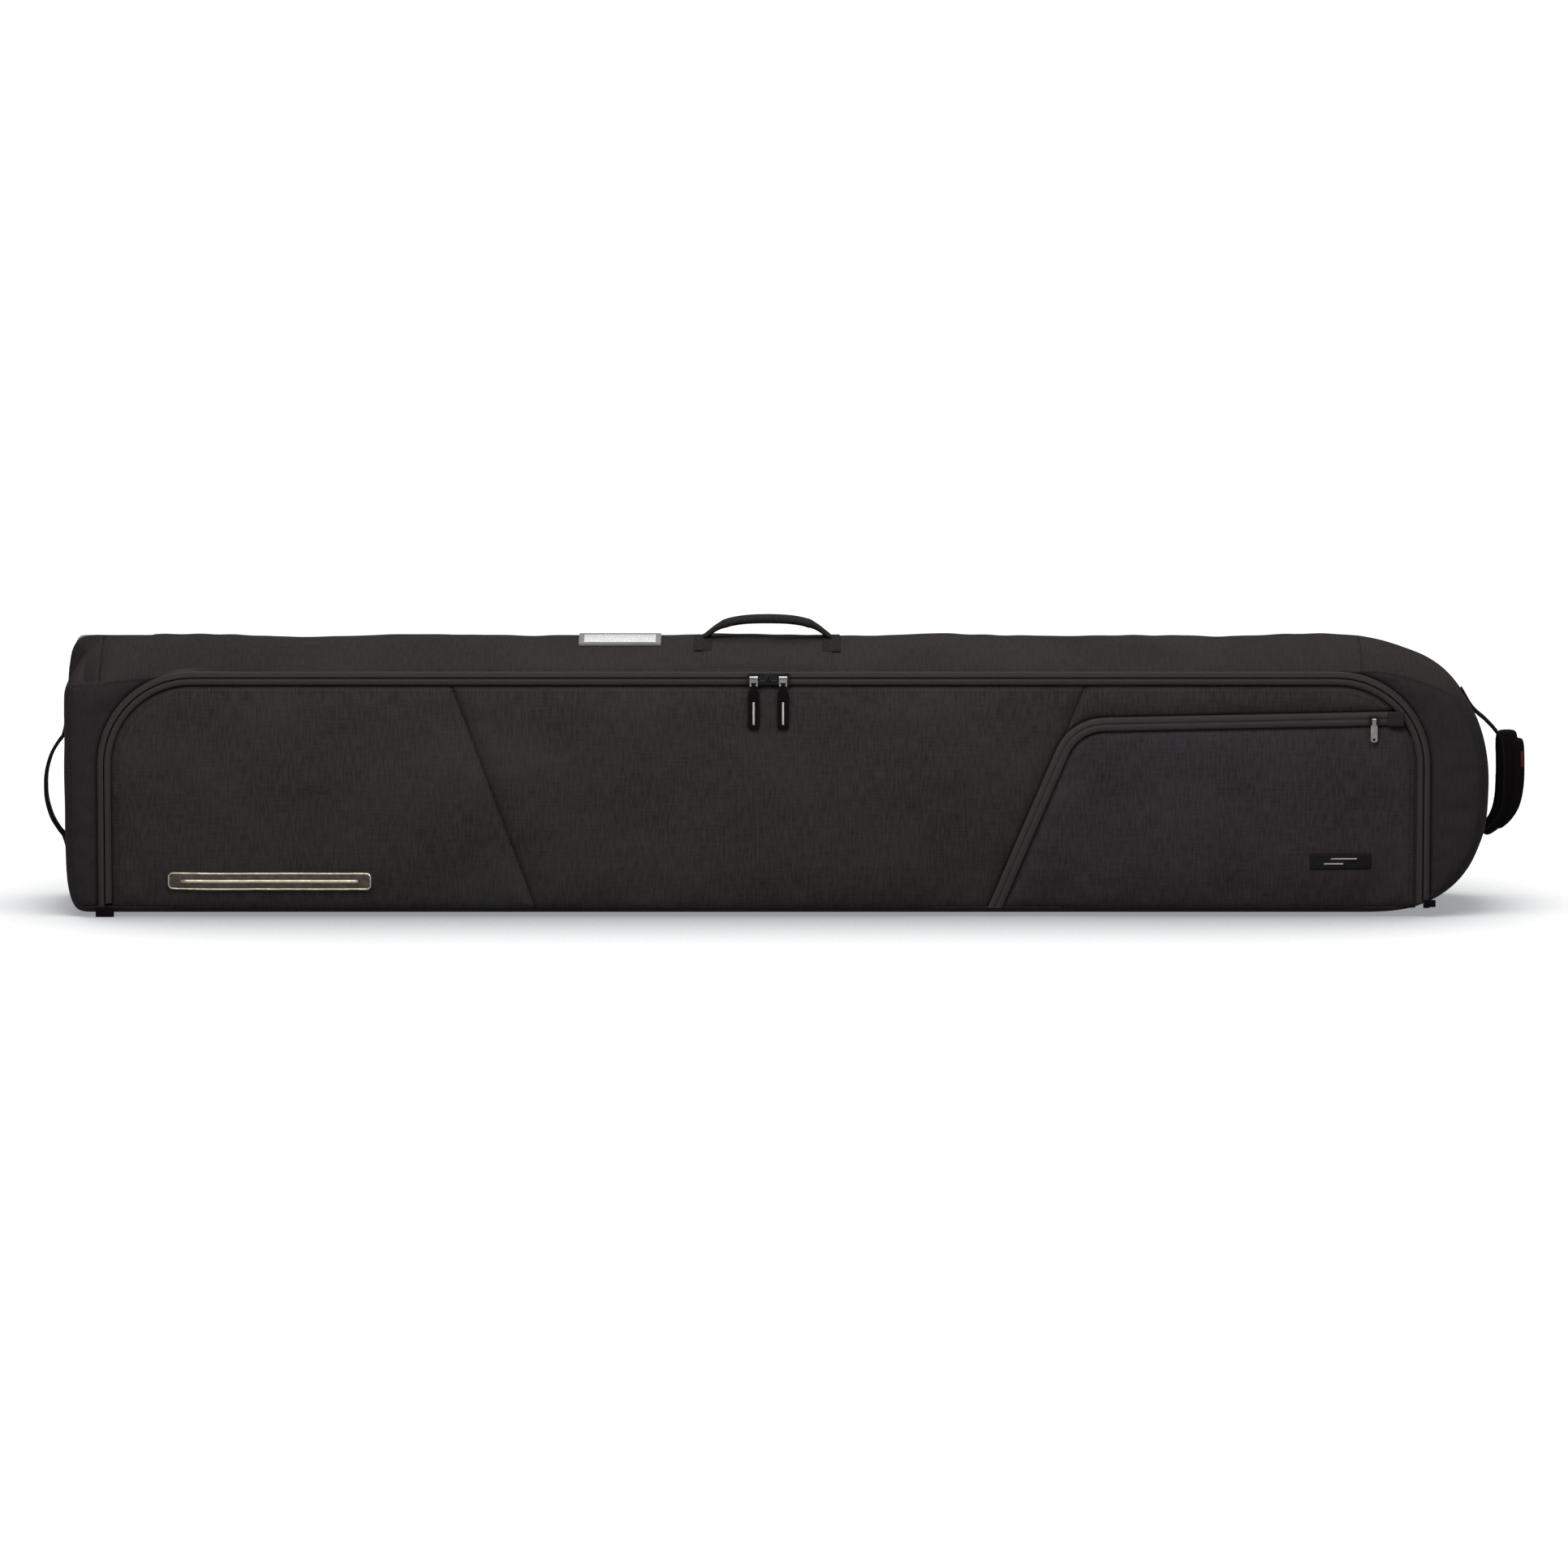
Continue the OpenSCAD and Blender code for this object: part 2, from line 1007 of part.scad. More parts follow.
// Front plate of a slider
module front_plate(length, low, high) {
    box([-length / 2, front_plate_y, low], [length / 2, front_plate_y + plate_t, high]);
}

// Pivot pin on two lugs in front of a slider, along X
module pin_on_lugs(half_w, y, z, r) {
    translate([0, y, z])
        rotate([0, 90, 0])
            cylinder(r = r, h = 2 * half_w + 2, center = true);
    for (side = [-1, 1])
        translate([side * (half_w + 1.2), 0, 0])
            box([-0.9, y - 1, z - 1.6], [0.9, front_plate_y + plate_t / 2, z + 1.6]);
}

// Front plate, a bridge between the halves of the zip, and a back plate behind the lid's half
module main_slider(i) {
    coil_back = -half_d + tape_t + coil_t;
    low_z = zip_z - slider_half_h;
    color("#3a3a3b")
        translate([slider_x[i], 0, 0]) {
            translate([slider_shift[i], 0, 0]) {
                front_plate(slider_l, low_z, zip_z + slider_half_h);
                box([-3, -half_d - plate_gap - 0.1, zip_z - bridge_t / 2],
                    [3, coil_back + 0.4, zip_z + bridge_t / 2]);
                box([-9, coil_back + 0.3, low_z],
                    [9, coil_back + 1.8, zip_z + bridge_t / 2]);
            }
            pin_on_lugs(tab_half_w, pull_y, tab_pin_z, tab_pin_r);
        }
}

// Metal tab: a barrel on the slider's pin, and a bar that the puller hangs from
module main_tab(i) {
    low_z = puller_pin_z - 1.4;
    half_w = tab_half_w - 0.2;
    color(metal)
        translate([slider_x[i], 0, 0]) {
            difference() {
                union() {
                    translate([0, pull_y, tab_pin_z])
                        rotate([0, 90, 0])
                            cylinder(r = tab_barrel_r, h = 2 * half_w, center = true);
                    box([-half_w, pull_y - tab_t / 2, low_z],
                        [half_w, pull_y + tab_t / 2, tab_pin_z]);
                }
                translate([0, pull_y, tab_pin_z])
                    rotate([0, 90, 0])
                        cylinder(r = tab_pin_r + pin_fit, h = 20, center = true);
                box([-3.2, -far, low_z - 1], [3.2, far, puller_pin_z + 3]);
            }
            translate([0, pull_y, puller_pin_z])
                rotate([0, 90, 0])
                    cylinder(r = puller_pin_r, h = 7, center = true);
        }
}

// Fabric puller looped round the tab's bar
module main_puller(i) {
    color(plastic)
        difference() {
            translate([slider_x[i], 0, 0]) {
                translate([0, pull_y, puller_pin_z])
                    rotate([0, 90, 0])
                        cylinder(r = 2.2, h = 5.8, center = true);
                box([-2.9, pull_y - 1.5, puller_pin_z - 8], [2.9, pull_y + 1.5, puller_pin_z - 1]);
                front_slab(pull_y - 1.8, pull_y + 1.8)
                    translate([0, puller_pin_z - 5 - puller_l / 2])
                        rounded_rect(puller_w, puller_l - 4, 3);
            }
            translate([slider_x[i], pull_y, puller_pin_z])
                rotate([0, 90, 0])
                    cylinder(r = puller_pin_r + pin_fit, h = 20, center = true);
        }
}

module main_slider_tail() {
    main_slider(0);
}

module main_slider_nose() {
    main_slider(1);
}

module main_tab_tail() {
    main_tab(0);
}

module main_tab_nose() {
    main_tab(1);
}

module main_puller_tail() {
    main_puller(0);
}

module main_puller_nose() {
    main_puller(1);
}

module pocket_slider() {
    color("#4a4a4b")
        translate([pocket_slider_x, 0, 0]) {
            front_plate(pocket_slider_l, pocket_slider_z - 4, pocket_slider_z + 4);
            pin_on_lugs(2.5, pocket_pull_y, pocket_slider_z, pocket_pin_r);
        }
}

module pocket_pull() {
    color(metal)
        translate([pocket_slider_x, pocket_pull_y, pocket_slider_z])
            difference() {
                union() {
                    rotate([0, 90, 0])
                        cylinder(r = 1.5, h = 4.6, center = true);
                    box([-2.3, -0.8, -10], [2.3, 0.8, 0]);
                    front_slab(-0.9, 0.9)
                        translate([0, -pocket_pull_l / 2 - 3])
                            rounded_rect(pocket_pull_w, pocket_pull_l - 6, 3);
                }
                rotate([0, 90, 0])
                    cylinder(r = pocket_pin_r + pin_fit, h = 20, center = true);
                translate([0, 0, 3.2 - pocket_pull_l])
                    rotate([90, 0, 0])
                        cylinder(r = 1.8, h = 10, center = true);
            }
}

back_panel();
top_gusset();
bottom_gusset();
tail_end_panel();
nose_end_panel();
front_border();
tub_foam();
tub_lining();
shell_zip_tape();
shell_zip_coil();
zip_foot_tab_tail();
zip_foot_tab_nose();
handle_patch();
id_window_frame();
id_window();
id_card();
handle_anchors();
wheel_housing_lower();
wheel_housing_upper();
wheel_axles();
housing_screws();
strap_lower_webbing();
strap_upper_webbing();
buckle_sockets();
buckle_plug_tail();
buckle_plug_nose();
lid_tail_panel();
lid_centre_panel();
lid_nose_panel();
lid_foam();
lid_lining();
lid_zip_tape();
lid_zip_coil();
pocket_panel();
pocket_back_panel();
pocket_zip_tape();
pocket_zip_coil();
pocket_zip_garage();
badge();
size_label();
main_slider_tail();
main_slider_nose();
main_tab_tail();
main_tab_nose();
main_puller_tail();
main_puller_nose();
pocket_slider();
pocket_pull();
top_handle_webbing();
top_handle_grip();
tail_handle_webbing();
nose_handle_webbing();
nose_handle_grip();
nose_handle_tag();
wheel_hub_lower();
wheel_tyre_lower();
wheel_bearings_lower();
wheel_hub_upper();
wheel_tyre_upper();
wheel_bearings_upper();
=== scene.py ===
"""Wheeled snowboard bag: soft panels, zips, handles and materials around the CAD frame."""
import math
from collections import Counter

import bmesh
import bpy
import numpy as np
from mathutils import Matrix, Vector, noise
from mathutils.bvhtree import BVHTree
from mathutils.geometry import delaunay_2d_cdt


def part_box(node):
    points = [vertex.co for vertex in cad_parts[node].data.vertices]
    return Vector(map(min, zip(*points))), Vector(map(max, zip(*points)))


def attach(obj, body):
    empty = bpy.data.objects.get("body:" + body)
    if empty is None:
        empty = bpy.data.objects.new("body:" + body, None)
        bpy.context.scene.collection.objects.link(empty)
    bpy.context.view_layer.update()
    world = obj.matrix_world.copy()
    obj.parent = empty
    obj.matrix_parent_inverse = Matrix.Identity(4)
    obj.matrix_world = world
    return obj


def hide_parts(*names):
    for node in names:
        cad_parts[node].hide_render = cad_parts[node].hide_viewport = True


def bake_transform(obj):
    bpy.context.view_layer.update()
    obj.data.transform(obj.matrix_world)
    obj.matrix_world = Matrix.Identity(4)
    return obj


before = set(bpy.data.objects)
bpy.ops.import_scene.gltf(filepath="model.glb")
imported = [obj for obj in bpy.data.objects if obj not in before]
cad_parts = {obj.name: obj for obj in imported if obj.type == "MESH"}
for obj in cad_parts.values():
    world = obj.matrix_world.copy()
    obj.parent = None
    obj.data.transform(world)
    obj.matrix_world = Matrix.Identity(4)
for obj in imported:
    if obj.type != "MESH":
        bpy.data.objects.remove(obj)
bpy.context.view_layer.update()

# ---- Sizes taken from the frame (metres) ----
TAIL_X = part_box("tail_end_panel")[0][0]
NOSE_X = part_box("nose_end_panel")[1][0]
TAIL_SEAM_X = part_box("top_gusset")[0][0]
NOSE_SEAM_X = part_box("top_gusset")[1][0]
TOP_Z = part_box("top_gusset")[1][2]
SEAM_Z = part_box("front_border")[1][2]
FRONT_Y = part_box("front_border")[0][1]
BACK_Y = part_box("back_panel")[1][1]
HINGE_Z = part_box("lid_tail_panel")[0][2]
ZIP_HALF_GAP = 0.0006
ZIP_TAIL_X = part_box("lid_zip_tape")[0][0] - ZIP_HALF_GAP
ZIP_NOSE_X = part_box("lid_zip_tape")[1][0] + ZIP_HALF_GAP
ZIP_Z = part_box("lid_zip_tape")[1][2] + ZIP_HALF_GAP
BAND = ZIP_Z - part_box("lid_tail_panel")[1][2]
HOUSING_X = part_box("wheel_housing_lower")[1][0]
HOUSING_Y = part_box("wheel_housing_lower")[0][1]
HOUSING_LOW_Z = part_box("wheel_housing_lower")[1][2]
HOUSING_HIGH_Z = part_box("wheel_housing_upper")[0][2]
FOOT_TAB_OUT = FRONT_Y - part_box("zip_foot_tab_tail")[0][1]
HALF_D = (BACK_Y - FRONT_Y) / 2
ZIP_R = 0.105
TAIL_BULGE = TAIL_SEAM_X - TAIL_X
NOSE_LOW = NOSE_X - NOSE_SEAM_X
NOSE_HIGH_L = 0.2

STEP = 0.009
OUTLINE_STEP = 0.004
HEM = 0.004
# Above this height the outline belongs to the top gusset only
TOP_ONLY_Z = 0.3


def middle(node, axis):
    low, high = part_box(node)
    return (low[axis] + high[axis]) / 2


# ---- Camera, lights and floor ----

def link_object(name, data):
    obj = bpy.data.objects.new(name, data)
    bpy.context.scene.collection.objects.link(obj)
    return obj


def look_at(obj, place, target):
    obj.location = place
    direction = Vector(target) - Vector(place)
    obj.rotation_euler = direction.to_track_quat("-Z", "Y").to_euler()


def add_camera():
    """A long lens straight in front of the lid, a little above it."""
    elevation = math.radians(8)
    distance = 12.0
    view_width = 1.867
    target = Vector((0.0101, FRONT_Y, 0.160))
    data = bpy.data.cameras.new("camera")
    data.sensor_width = 36
    data.lens = data.sensor_width * distance / view_width
    data.clip_end = 60
    camera = link_object("camera", data)
    offset = Vector((0, -math.cos(elevation), math.sin(elevation))) * distance
    look_at(camera, target + offset, target)
    bpy.context.scene.camera = camera


def add_area_light(name, place, target, size, power):
    data = bpy.data.lights.new(name, "AREA")
    data.shape = "RECTANGLE"
    data.size, data.size_y = size
    data.energy = power
    look_at(link_object(name, data), place, target)


def add_floor(half=60):
    """A pale floor that reaches past the view on every side."""
    mesh = bpy.data.meshes.new("floor")
    corners = [(-half, -half, 0), (half, -half, 0), (half, half, 0), (-half, half, 0)]
    mesh.from_pydata(corners, [], [(0, 1, 2, 3)])
    mesh.materials.append(floor_material())
    floor = link_object("floor", mesh)
    floor.location.z = -0.0005


def floor_material():
    """White and nearly evenly bright, with a soft shadow where the bag shuts out the sky."""
    material = bpy.data.materials.new("floor")
    material.use_nodes = True
    tree = material.node_tree
    open_sky = tree.nodes.new("ShaderNodeAmbientOcclusion")
    open_sky.samples = 8
    open_sky.inputs["Distance"].default_value = 0.42
    shade = tree.nodes.new("ShaderNodeValToRGB")
    shade.color_ramp.elements[0].position = 0.50
    shade.color_ramp.elements[0].color = (0.30, 0.31, 0.33, 1)
    shade.color_ramp.elements[1].position = 0.97
    shade.color_ramp.elements[1].color = (1, 1, 1, 1)
    tree.links.new(open_sky.outputs["AO"], shade.inputs["Fac"])
    shader = tree.nodes["Principled BSDF"]
    shader.inputs["Base Color"].default_value = (0.06, 0.06, 0.06, 1)
    shader.inputs["Roughness"].default_value = 0.9
    shader.inputs["Emission Strength"].default_value = 1.0
    tree.links.new(shade.outputs["Color"], shader.inputs["Emission Color"])
    return material


def add_studio():
    """Even white surroundings, with long soft lights above the front."""
    world = bpy.data.worlds.new("studio")
    world.use_nodes = True
    world.node_tree.nodes["Background"].inputs["Color"].default_value = (1, 1, 1, 1)
    world.node_tree.nodes["Background"].inputs["Strength"].default_value = 0.66
    bpy.context.scene.world = world
    bpy.context.scene.view_settings.view_transform = "Standard"
    add_area_light("strip", (0, -0.85, 1.45), (0, 0, 0.2), (2.6, 0.5), 54)
    add_area_light("key", (-1.4, -2.4, 2.6), (0, 0, 0.15), (1.6, 1.6), 34)
    add_area_light("top", (0.3, 0.5, 2.6), (0, 0, 0.15), (2.6, 1.2), 54)
    add_floor()


add_camera()
add_studio()


# ---- Materials ----

class Nodes:
    """Short way to add and join shader nodes of one material."""

    def __init__(self, name):
        self.material = bpy.data.materials.new(name)
        self.material.use_nodes = True
        self.tree = self.material.node_tree
        self.shader = self.tree.nodes["Principled BSDF"]

    def join(self, value, socket):
        """Links an output, or sets a plain number, vector or colour."""
        if isinstance(value, bpy.types.NodeSocket):
            self.tree.links.new(value, socket)
        elif socket.type == "RGBA":
            socket.default_value = (*value, 1)
        else:
            socket.default_value = value

    def add(self, kind, **inputs):
        node = self.tree.nodes.new("ShaderNode" + kind)
        for key, value in inputs.items():
            self.join(value, node.inputs[key.replace("_", " ")])
        return node

    def mapped(self, source, scale):
        """Coordinates of the surface, stretched by scale."""
        if source == "uv":
            vector = self.add("UVMap").outputs["UV"]
        else:
            vector = self.add("TexCoord").outputs["Object"]
        return self.add("Mapping", Vector=vector, Scale=scale).outputs["Vector"]

    def noise(self, source, scale, size, detail=3.0):
        vector = self.mapped(source, scale)
        return self.add("TexNoise", Vector=vector, Scale=size, Detail=detail).outputs["Fac"]

    def wave(self, source, axis, pitch, distortion=0.0):
        """Bands across an axis, pitch apart."""
        node = self.add("TexWave", Vector=self.mapped(source, (1, 1, 1)), Scale=math.pi / pitch / 10,
                        Distortion=distortion, Detail_Scale=2.0)
        node.bands_direction = axis
        return node.outputs["Fac"]

    def grey(self, fac, low, high, dark=0.0, light=1.0):
        """Fac as a grey that runs from dark at low to light at high."""
        node = self.add("ValToRGB", Fac=fac)
        for element, place, tone in zip(node.color_ramp.elements, (low, high), (dark, light)):
            element.position = place
            element.color = (tone, tone, tone, 1)
        return node.outputs["Color"]

    def math(self, operation, a, b):
        node = self.add("Math")
        node.operation = operation
        self.join(a, node.inputs[0])
        self.join(b, node.inputs[1])
        return node.outputs[0]

    def mix(self, fac, a, b):
        node = self.add("Mix")
        node.data_type = "RGBA"
        for value, socket in zip((fac, a, b), (node.inputs[0], node.inputs[6], node.inputs[7])):
            self.join(value, socket)
        return node.outputs[2]

    def bump(self, height, strength, distance, under=None):
        node = self.add("Bump", Height=height, Strength=strength, Distance=distance)
        if under is not None:
            self.join(under, node.inputs["Normal"])
        return node.outputs["Normal"]

    def finish(self, colour, roughness, normal, metallic=0.0, specular=0.35):
        settings = {"Base Color": colour, "Roughness": roughness, "Normal": normal, "Metallic": metallic,
                    "Specular IOR Level": specular}
        for name, value in settings.items():
            self.join(value, self.shader.inputs[name])
        return self.material


def times(colour, k):
    return tuple(min(c * k, 1.0) for c in colour)


def cloth_material(name, colour, thread=0.0011, slub=0.25, stain=0.22, source="uv", rough=0.95):
    """Woven cloth: crossing threads with painted shade in the gaps between them, uneven slubs along both of
    them, and slow changes of tone.
    """
    n = Nodes(name)
    weave = n.math("MULTIPLY", n.wave(source, "X", thread, 0.6), n.wave(source, "Y", thread, 0.6))
    slub_up = n.noise(source, (400, 55, 55), 1.0, 3.0)
    slub_side = n.noise(source, (40, 420, 420), 1.0, 2.0)
    tone = n.mix(n.grey(slub_up, 0.35, 0.68), times(colour, 1 - slub), times(colour, 1 + slub))
    tone = n.mix(n.grey(slub_side, 0.4, 0.7, 0.0, 0.5), tone, times(colour, 1 + 1.3 * slub))
    cloud = n.noise(source, (7, 9, 9), 1.0, 5.0)
    tone = n.mix(n.grey(cloud, 0.35, 0.7, 0.0, 1.0), tone, n.mix(stain, tone, times(colour, 2.0)))
    # Painted shade: the low gaps between the crossing threads are darkened towards 0.45 of the colour.
    tone = n.mix(n.grey(weave, 0.0, 0.6, 0.35, 0.0), tone, times(colour, 0.45))
    fine = n.bump(weave, 0.35, 0.0004)
    normal = n.bump(n.math("ADD", slub_up, slub_side), 0.18, 0.0006, fine)
    return n.finish(tone, rough, normal, specular=0.03)


def webbing_material(name, colour, rib=0.0016, source="uv"):
    """Webbing: ribs along its length, crossed by fine picks, a little shiny, with painted shade in the
    grooves between ribs and painted light on their tops.
    """
    n = Nodes(name)
    ribs = n.wave(source, "Y", rib)
    picks = n.wave(source, "X", rib * 0.6, 0.5)
    height = n.math("MULTIPLY", ribs, n.math("ADD", picks, 0.6))
    dust = n.noise(source, (30, 60, 60), 1.0, 4.0)
    # Painted shade in the grooves between the ribs and painted light on the rib tops, from the same height
    # that makes the bump.
    tone = n.mix(n.grey(height, 0.0, 0.9), times(colour, 0.45), times(colour, 1.35))
    tone = n.mix(n.grey(dust, 0.5, 0.75, 0.0, 0.35), tone, times(colour, 2.2))
    return n.finish(tone, 0.62, n.bump(height, 0.5, 0.0006), specular=0.03)


def plastic_material(name, colour, rough=0.45, grain=0.25):
    """Moulded plastic: fine grain, scuffs and a faint change of tone."""
    n = Nodes(name)
    fine = n.noise("object", (1, 1, 1), 900, 2.0)
    wide = n.noise("object", (1, 1, 1), 14, 4.0)
    scuff = n.noise("object", (12, 160, 40), 3.0, 5.0)
    tone = n.mix(n.grey(wide, 0.3, 0.7), times(colour, 0.82), times(colour, 1.18))
    tone = n.mix(n.grey(scuff, 0.62, 0.72, 0.0, 0.5), tone, times(colour, 1.9))
    return n.finish(tone, n.grey(scuff, 0.3, 0.75, rough, rough + 0.25), n.bump(fine, grain, 0.0003))


def metal_material(name, colour, rough=0.3):
    """Metal with fine brushing and small worn patches."""
    n = Nodes(name)
    brushed = n.noise("object", (60, 900, 900), 1.0, 3.0)
    worn = n.noise("object", (1, 1, 1), 160, 4.0)
    tone = n.mix(n.grey(worn, 0.45, 0.7), colour, times(colour, 1.4))
    shine = n.grey(brushed, 0.2, 0.8, rough * 0.8, rough * 1.5)
    return n.finish(tone, shine, n.bump(brushed, 0.12, 0.0002), metallic=1.0)


def clear_material(name):
    n = Nodes(name)
    scratches = n.noise("object", (40, 400, 40), 1.0, 5.0)
    n.shader.inputs["Transmission Weight"].default_value = 0.6
    n.shader.inputs["Alpha"].default_value = 0.35
    rough = n.grey(scratches, 0.4, 0.7, 0.08, 0.3)
    return n.finish((0.86, 0.86, 0.86), rough, n.bump(scratches, 0.1, 0.0002))


def stitch_material(name, colour):
    n = Nodes(name)
    twist = n.noise("object", (1, 1, 1), 1200, 2.0)
    tone = n.mix(n.grey(twist, 0.3, 0.7), times(colour, 0.7), times(colour, 1.4))
    return n.finish(tone, 0.8, n.bump(twist, 0.3, 0.0002), specular=0.05)


LID = cloth_material("lid_cloth", (0.0140, 0.0121, 0.0120), slub=0.36, stain=0.34)
POCKET = cloth_material("pocket_cloth", (0.0142, 0.0119, 0.0131), slub=0.36, stain=0.34)
SHELL = cloth_material("shell_cloth", (0.0124, 0.0106, 0.0113), slub=0.14, stain=0.1)
GUSSET = cloth_material("gusset_cloth", (0.0109, 0.0093, 0.0087), thread=0.0014, slub=0.24, stain=0.3)
PATCH = cloth_material("patch_cloth", (0.0118, 0.0107, 0.0093), thread=0.0017, slub=0.16, stain=0.1)
LINING = cloth_material("lining_cloth", (0.060, 0.063, 0.070), thread=0.0008, slub=0.08, stain=0.05,
                        rough=0.7)
TAPE = cloth_material("tape_cloth", (0.0210, 0.0176, 0.0176), thread=0.0010, slub=0.06, stain=0.05, rough=0.8)
WEB = webbing_material("black_webbing", (0.0043, 0.0038, 0.0041))
SLEEVE = cloth_material("sleeve_cloth", (0.0087, 0.0076, 0.0069), slub=0.16, stain=0.08, source="object")
GRIP = cloth_material("grip_cloth", (0.0026, 0.0021, 0.0025), thread=0.0009, slub=0.1, stain=0.06,
                      source="object")
RED = cloth_material("red_tag", (0.038, 0.009, 0.012), thread=0.0007, slub=0.15, source="object")
PALE = cloth_material("pale_strip", (0.22, 0.21, 0.20), thread=0.0006, slub=0.15, source="object")
LABEL = cloth_material("label_weave", (0.0062, 0.0058, 0.0062), thread=0.0005, slub=0.1, source="object")
HOUSING = plastic_material("housing_plastic", (0.062, 0.064, 0.056), 0.6)
BLACK = plastic_material("black_plastic", (0.008, 0.008, 0.008), 0.4)
COIL = plastic_material("coil_nylon", (0.006, 0.005, 0.005), 0.4, 0.1)
HUB = plastic_material("hub_nylon", (0.26, 0.26, 0.26), 0.4)
TYRE = plastic_material("tyre_urethane", (0.014, 0.014, 0.014), 0.38, 0.15)
CARD = plastic_material("card", (0.10, 0.098, 0.095), 0.7, 0.05)
DARK_METAL = metal_material("black_nickel", (0.014, 0.014, 0.015), 0.2)
GUN_METAL = metal_material("gun_metal", (0.17, 0.165, 0.16), 0.28)
STEEL = metal_material("zinc_steel", (0.55, 0.55, 0.54), 0.32)
BADGE = metal_material("champagne_metal", (0.29, 0.25, 0.20), 0.36)
BADGE_FIELD = metal_material("dark_champagne", (0.055, 0.048, 0.040), 0.42)
CLEAR = clear_material("clear_film")
THREAD = stitch_material("black_thread", (0.0055, 0.0048, 0.0048))


# ---- Mesh helpers ----

def make_object(name, verts, faces, material, uvs=None, smooth=True):
    mesh = bpy.data.meshes.new(name)
    mesh.from_pydata([tuple(v) for v in verts], [], faces)
    mesh.validate()
    if uvs is not None:
        layer = mesh.uv_layers.new(name="UVMap")
        for loop in mesh.loops:
            layer.data[loop.index].uv = uvs[loop.vertex_index]
    mesh.materials.append(material)
    if smooth:
        shade_smooth(mesh)
    return link_object(name, mesh)


def shade_smooth(mesh):
    mesh.polygons.foreach_set("use_smooth", [True] * len(mesh.polygons))


def fix_normals(obj):
    bm = bmesh.new()
    bm.from_mesh(obj.data)
    bmesh.ops.recalc_face_normals(bm, faces=bm.faces)
    bm.to_mesh(obj.data)
    bm.free()


def place_piece(obj, body, slot, *nodes):
    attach(obj, body)
    if nodes:
        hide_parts(*nodes)
    return obj


def smooth_step(t):
    t = np.clip(t, 0, 1)
    return t * t * (3 - 2 * t)


def walked(line):
    """How far along a line each of its points is."""
    return np.concatenate([[0], np.cumsum(np.linalg.norm(np.diff(line, axis=0), axis=1))])


def spread(line, count):
    """The same line with count points, evenly apart."""
    line = np.asarray(line, float)
    at = walked(line)
    wanted = np.linspace(0, at[-1], count)
    return np.column_stack([np.interp(wanted, at, column) for column in line.T])


def resample(line, step, closed=False):
    """The same line with its points about step apart."""
    line = np.asarray(line, float)
    if closed:
        line = np.vstack([line, line[:1]])
    out = spread(line, max(int(round(walked(line)[-1] / step)), 2) + 1)
    return out[:-1] if closed else out


def grid_faces(rows, columns, closed=False):
    """Quads between points stored row by row; closed joins the two ends of each row."""
    quads = []
    for r in range(rows - 1):
        for k in range(columns if closed else columns - 1):
            n = (k + 1) % columns
            quads.append((r * columns + k, r * columns + n, (r + 1) * columns + n, (r + 1) * columns + k))
    return quads


def distance_to(points, line, closed=True):
    """Distance from each point to a line of segments."""
    p = np.asarray(points, float)
    a = np.asarray(line, float)
    b = np.roll(a, -1, axis=0)
    if not closed:
        a, b = a[:-1], b[:-1]
    best = np.full(len(p), 1e9)
    for start in range(0, len(a), 64):
        sa, sb = a[start:start + 64], b[start:start + 64]
        ab = sb - sa
        t = ((p[:, None] - sa) * ab).sum(2) / np.maximum((ab * ab).sum(1), 1e-12)
        near = sa + np.clip(t, 0, 1)[..., None] * ab
        best = np.minimum(best, np.sqrt(((p[:, None] - near) ** 2).sum(2)).min(1))
    return best


def inside(points, loop):
    """Which points lie inside a closed loop."""
    p, a = np.asarray(points, float), np.asarray(loop, float)
    b = np.roll(a, -1, axis=0)
    result = np.zeros(len(p), bool)
    for (x0, z0), (x1, z1) in zip(a, b):
        if z0 == z1:
            continue
        crosses = (p[:, 1] > z0) != (p[:, 1] > z1)
        result ^= crosses & (p[:, 0] < (x1 - x0) * (p[:, 1] - z0) / (z1 - z0) + x0)
    return result


def wobble(x, z, size, seed):
    """Smooth noise between about -1 and 1 on the scale size."""
    return noise.noise(Vector((x / size, z / size, seed)))


# ---- The bag's outline ----

def superquarter(a, b, power, steps=40):
    angles = np.linspace(0, math.pi / 2, steps + 1)
    across, up = (wave(angles).clip(0) ** (2 / power) for wave in (np.cos, np.sin))
    return np.column_stack([a * across, b * up])


def bag_outline():
    """Closed outline seen from the front: up the nose, along the top, down the tail, along the foot."""
    nose_foot = superquarter(NOSE_LOW, NOSE_LOW, 2.5)[::-1] * (1, -1) + (NOSE_X - NOSE_LOW, NOSE_LOW)
    nose_head = superquarter(NOSE_HIGH_L, TOP_Z - NOSE_LOW, 2.5) + (NOSE_X - NOSE_HIGH_L, NOSE_LOW)
    tail = superquarter(TAIL_BULGE, TOP_Z / 2, 5)
    tail_head = tail[::-1] * (-1, 1) + (TAIL_SEAM_X, TOP_Z / 2)
    tail_foot = tail * (-1, -1) + (TAIL_SEAM_X, TOP_Z / 2)
    return resample(np.vstack([nose_foot, nose_head[1:], tail_head, tail_foot[1:]]), OUTLINE_STEP, True)


def seam_height(x):
    """Height of the seam between the front border and the top gusset."""
    tail_dip = 0.016 * smooth_step((-0.60 - x) / 0.25) ** 1.5
    nose_dip = 0.030 * smooth_step((x - 0.70) / 0.13) ** 1.4
    return SEAM_Z - tail_dip - nose_dip


def soft_min(a, b, blend):
    return -blend * np.logaddexp(-a / blend, -b / blend)


EDGE_IN = 0.007
OUTLINE = bag_outline()


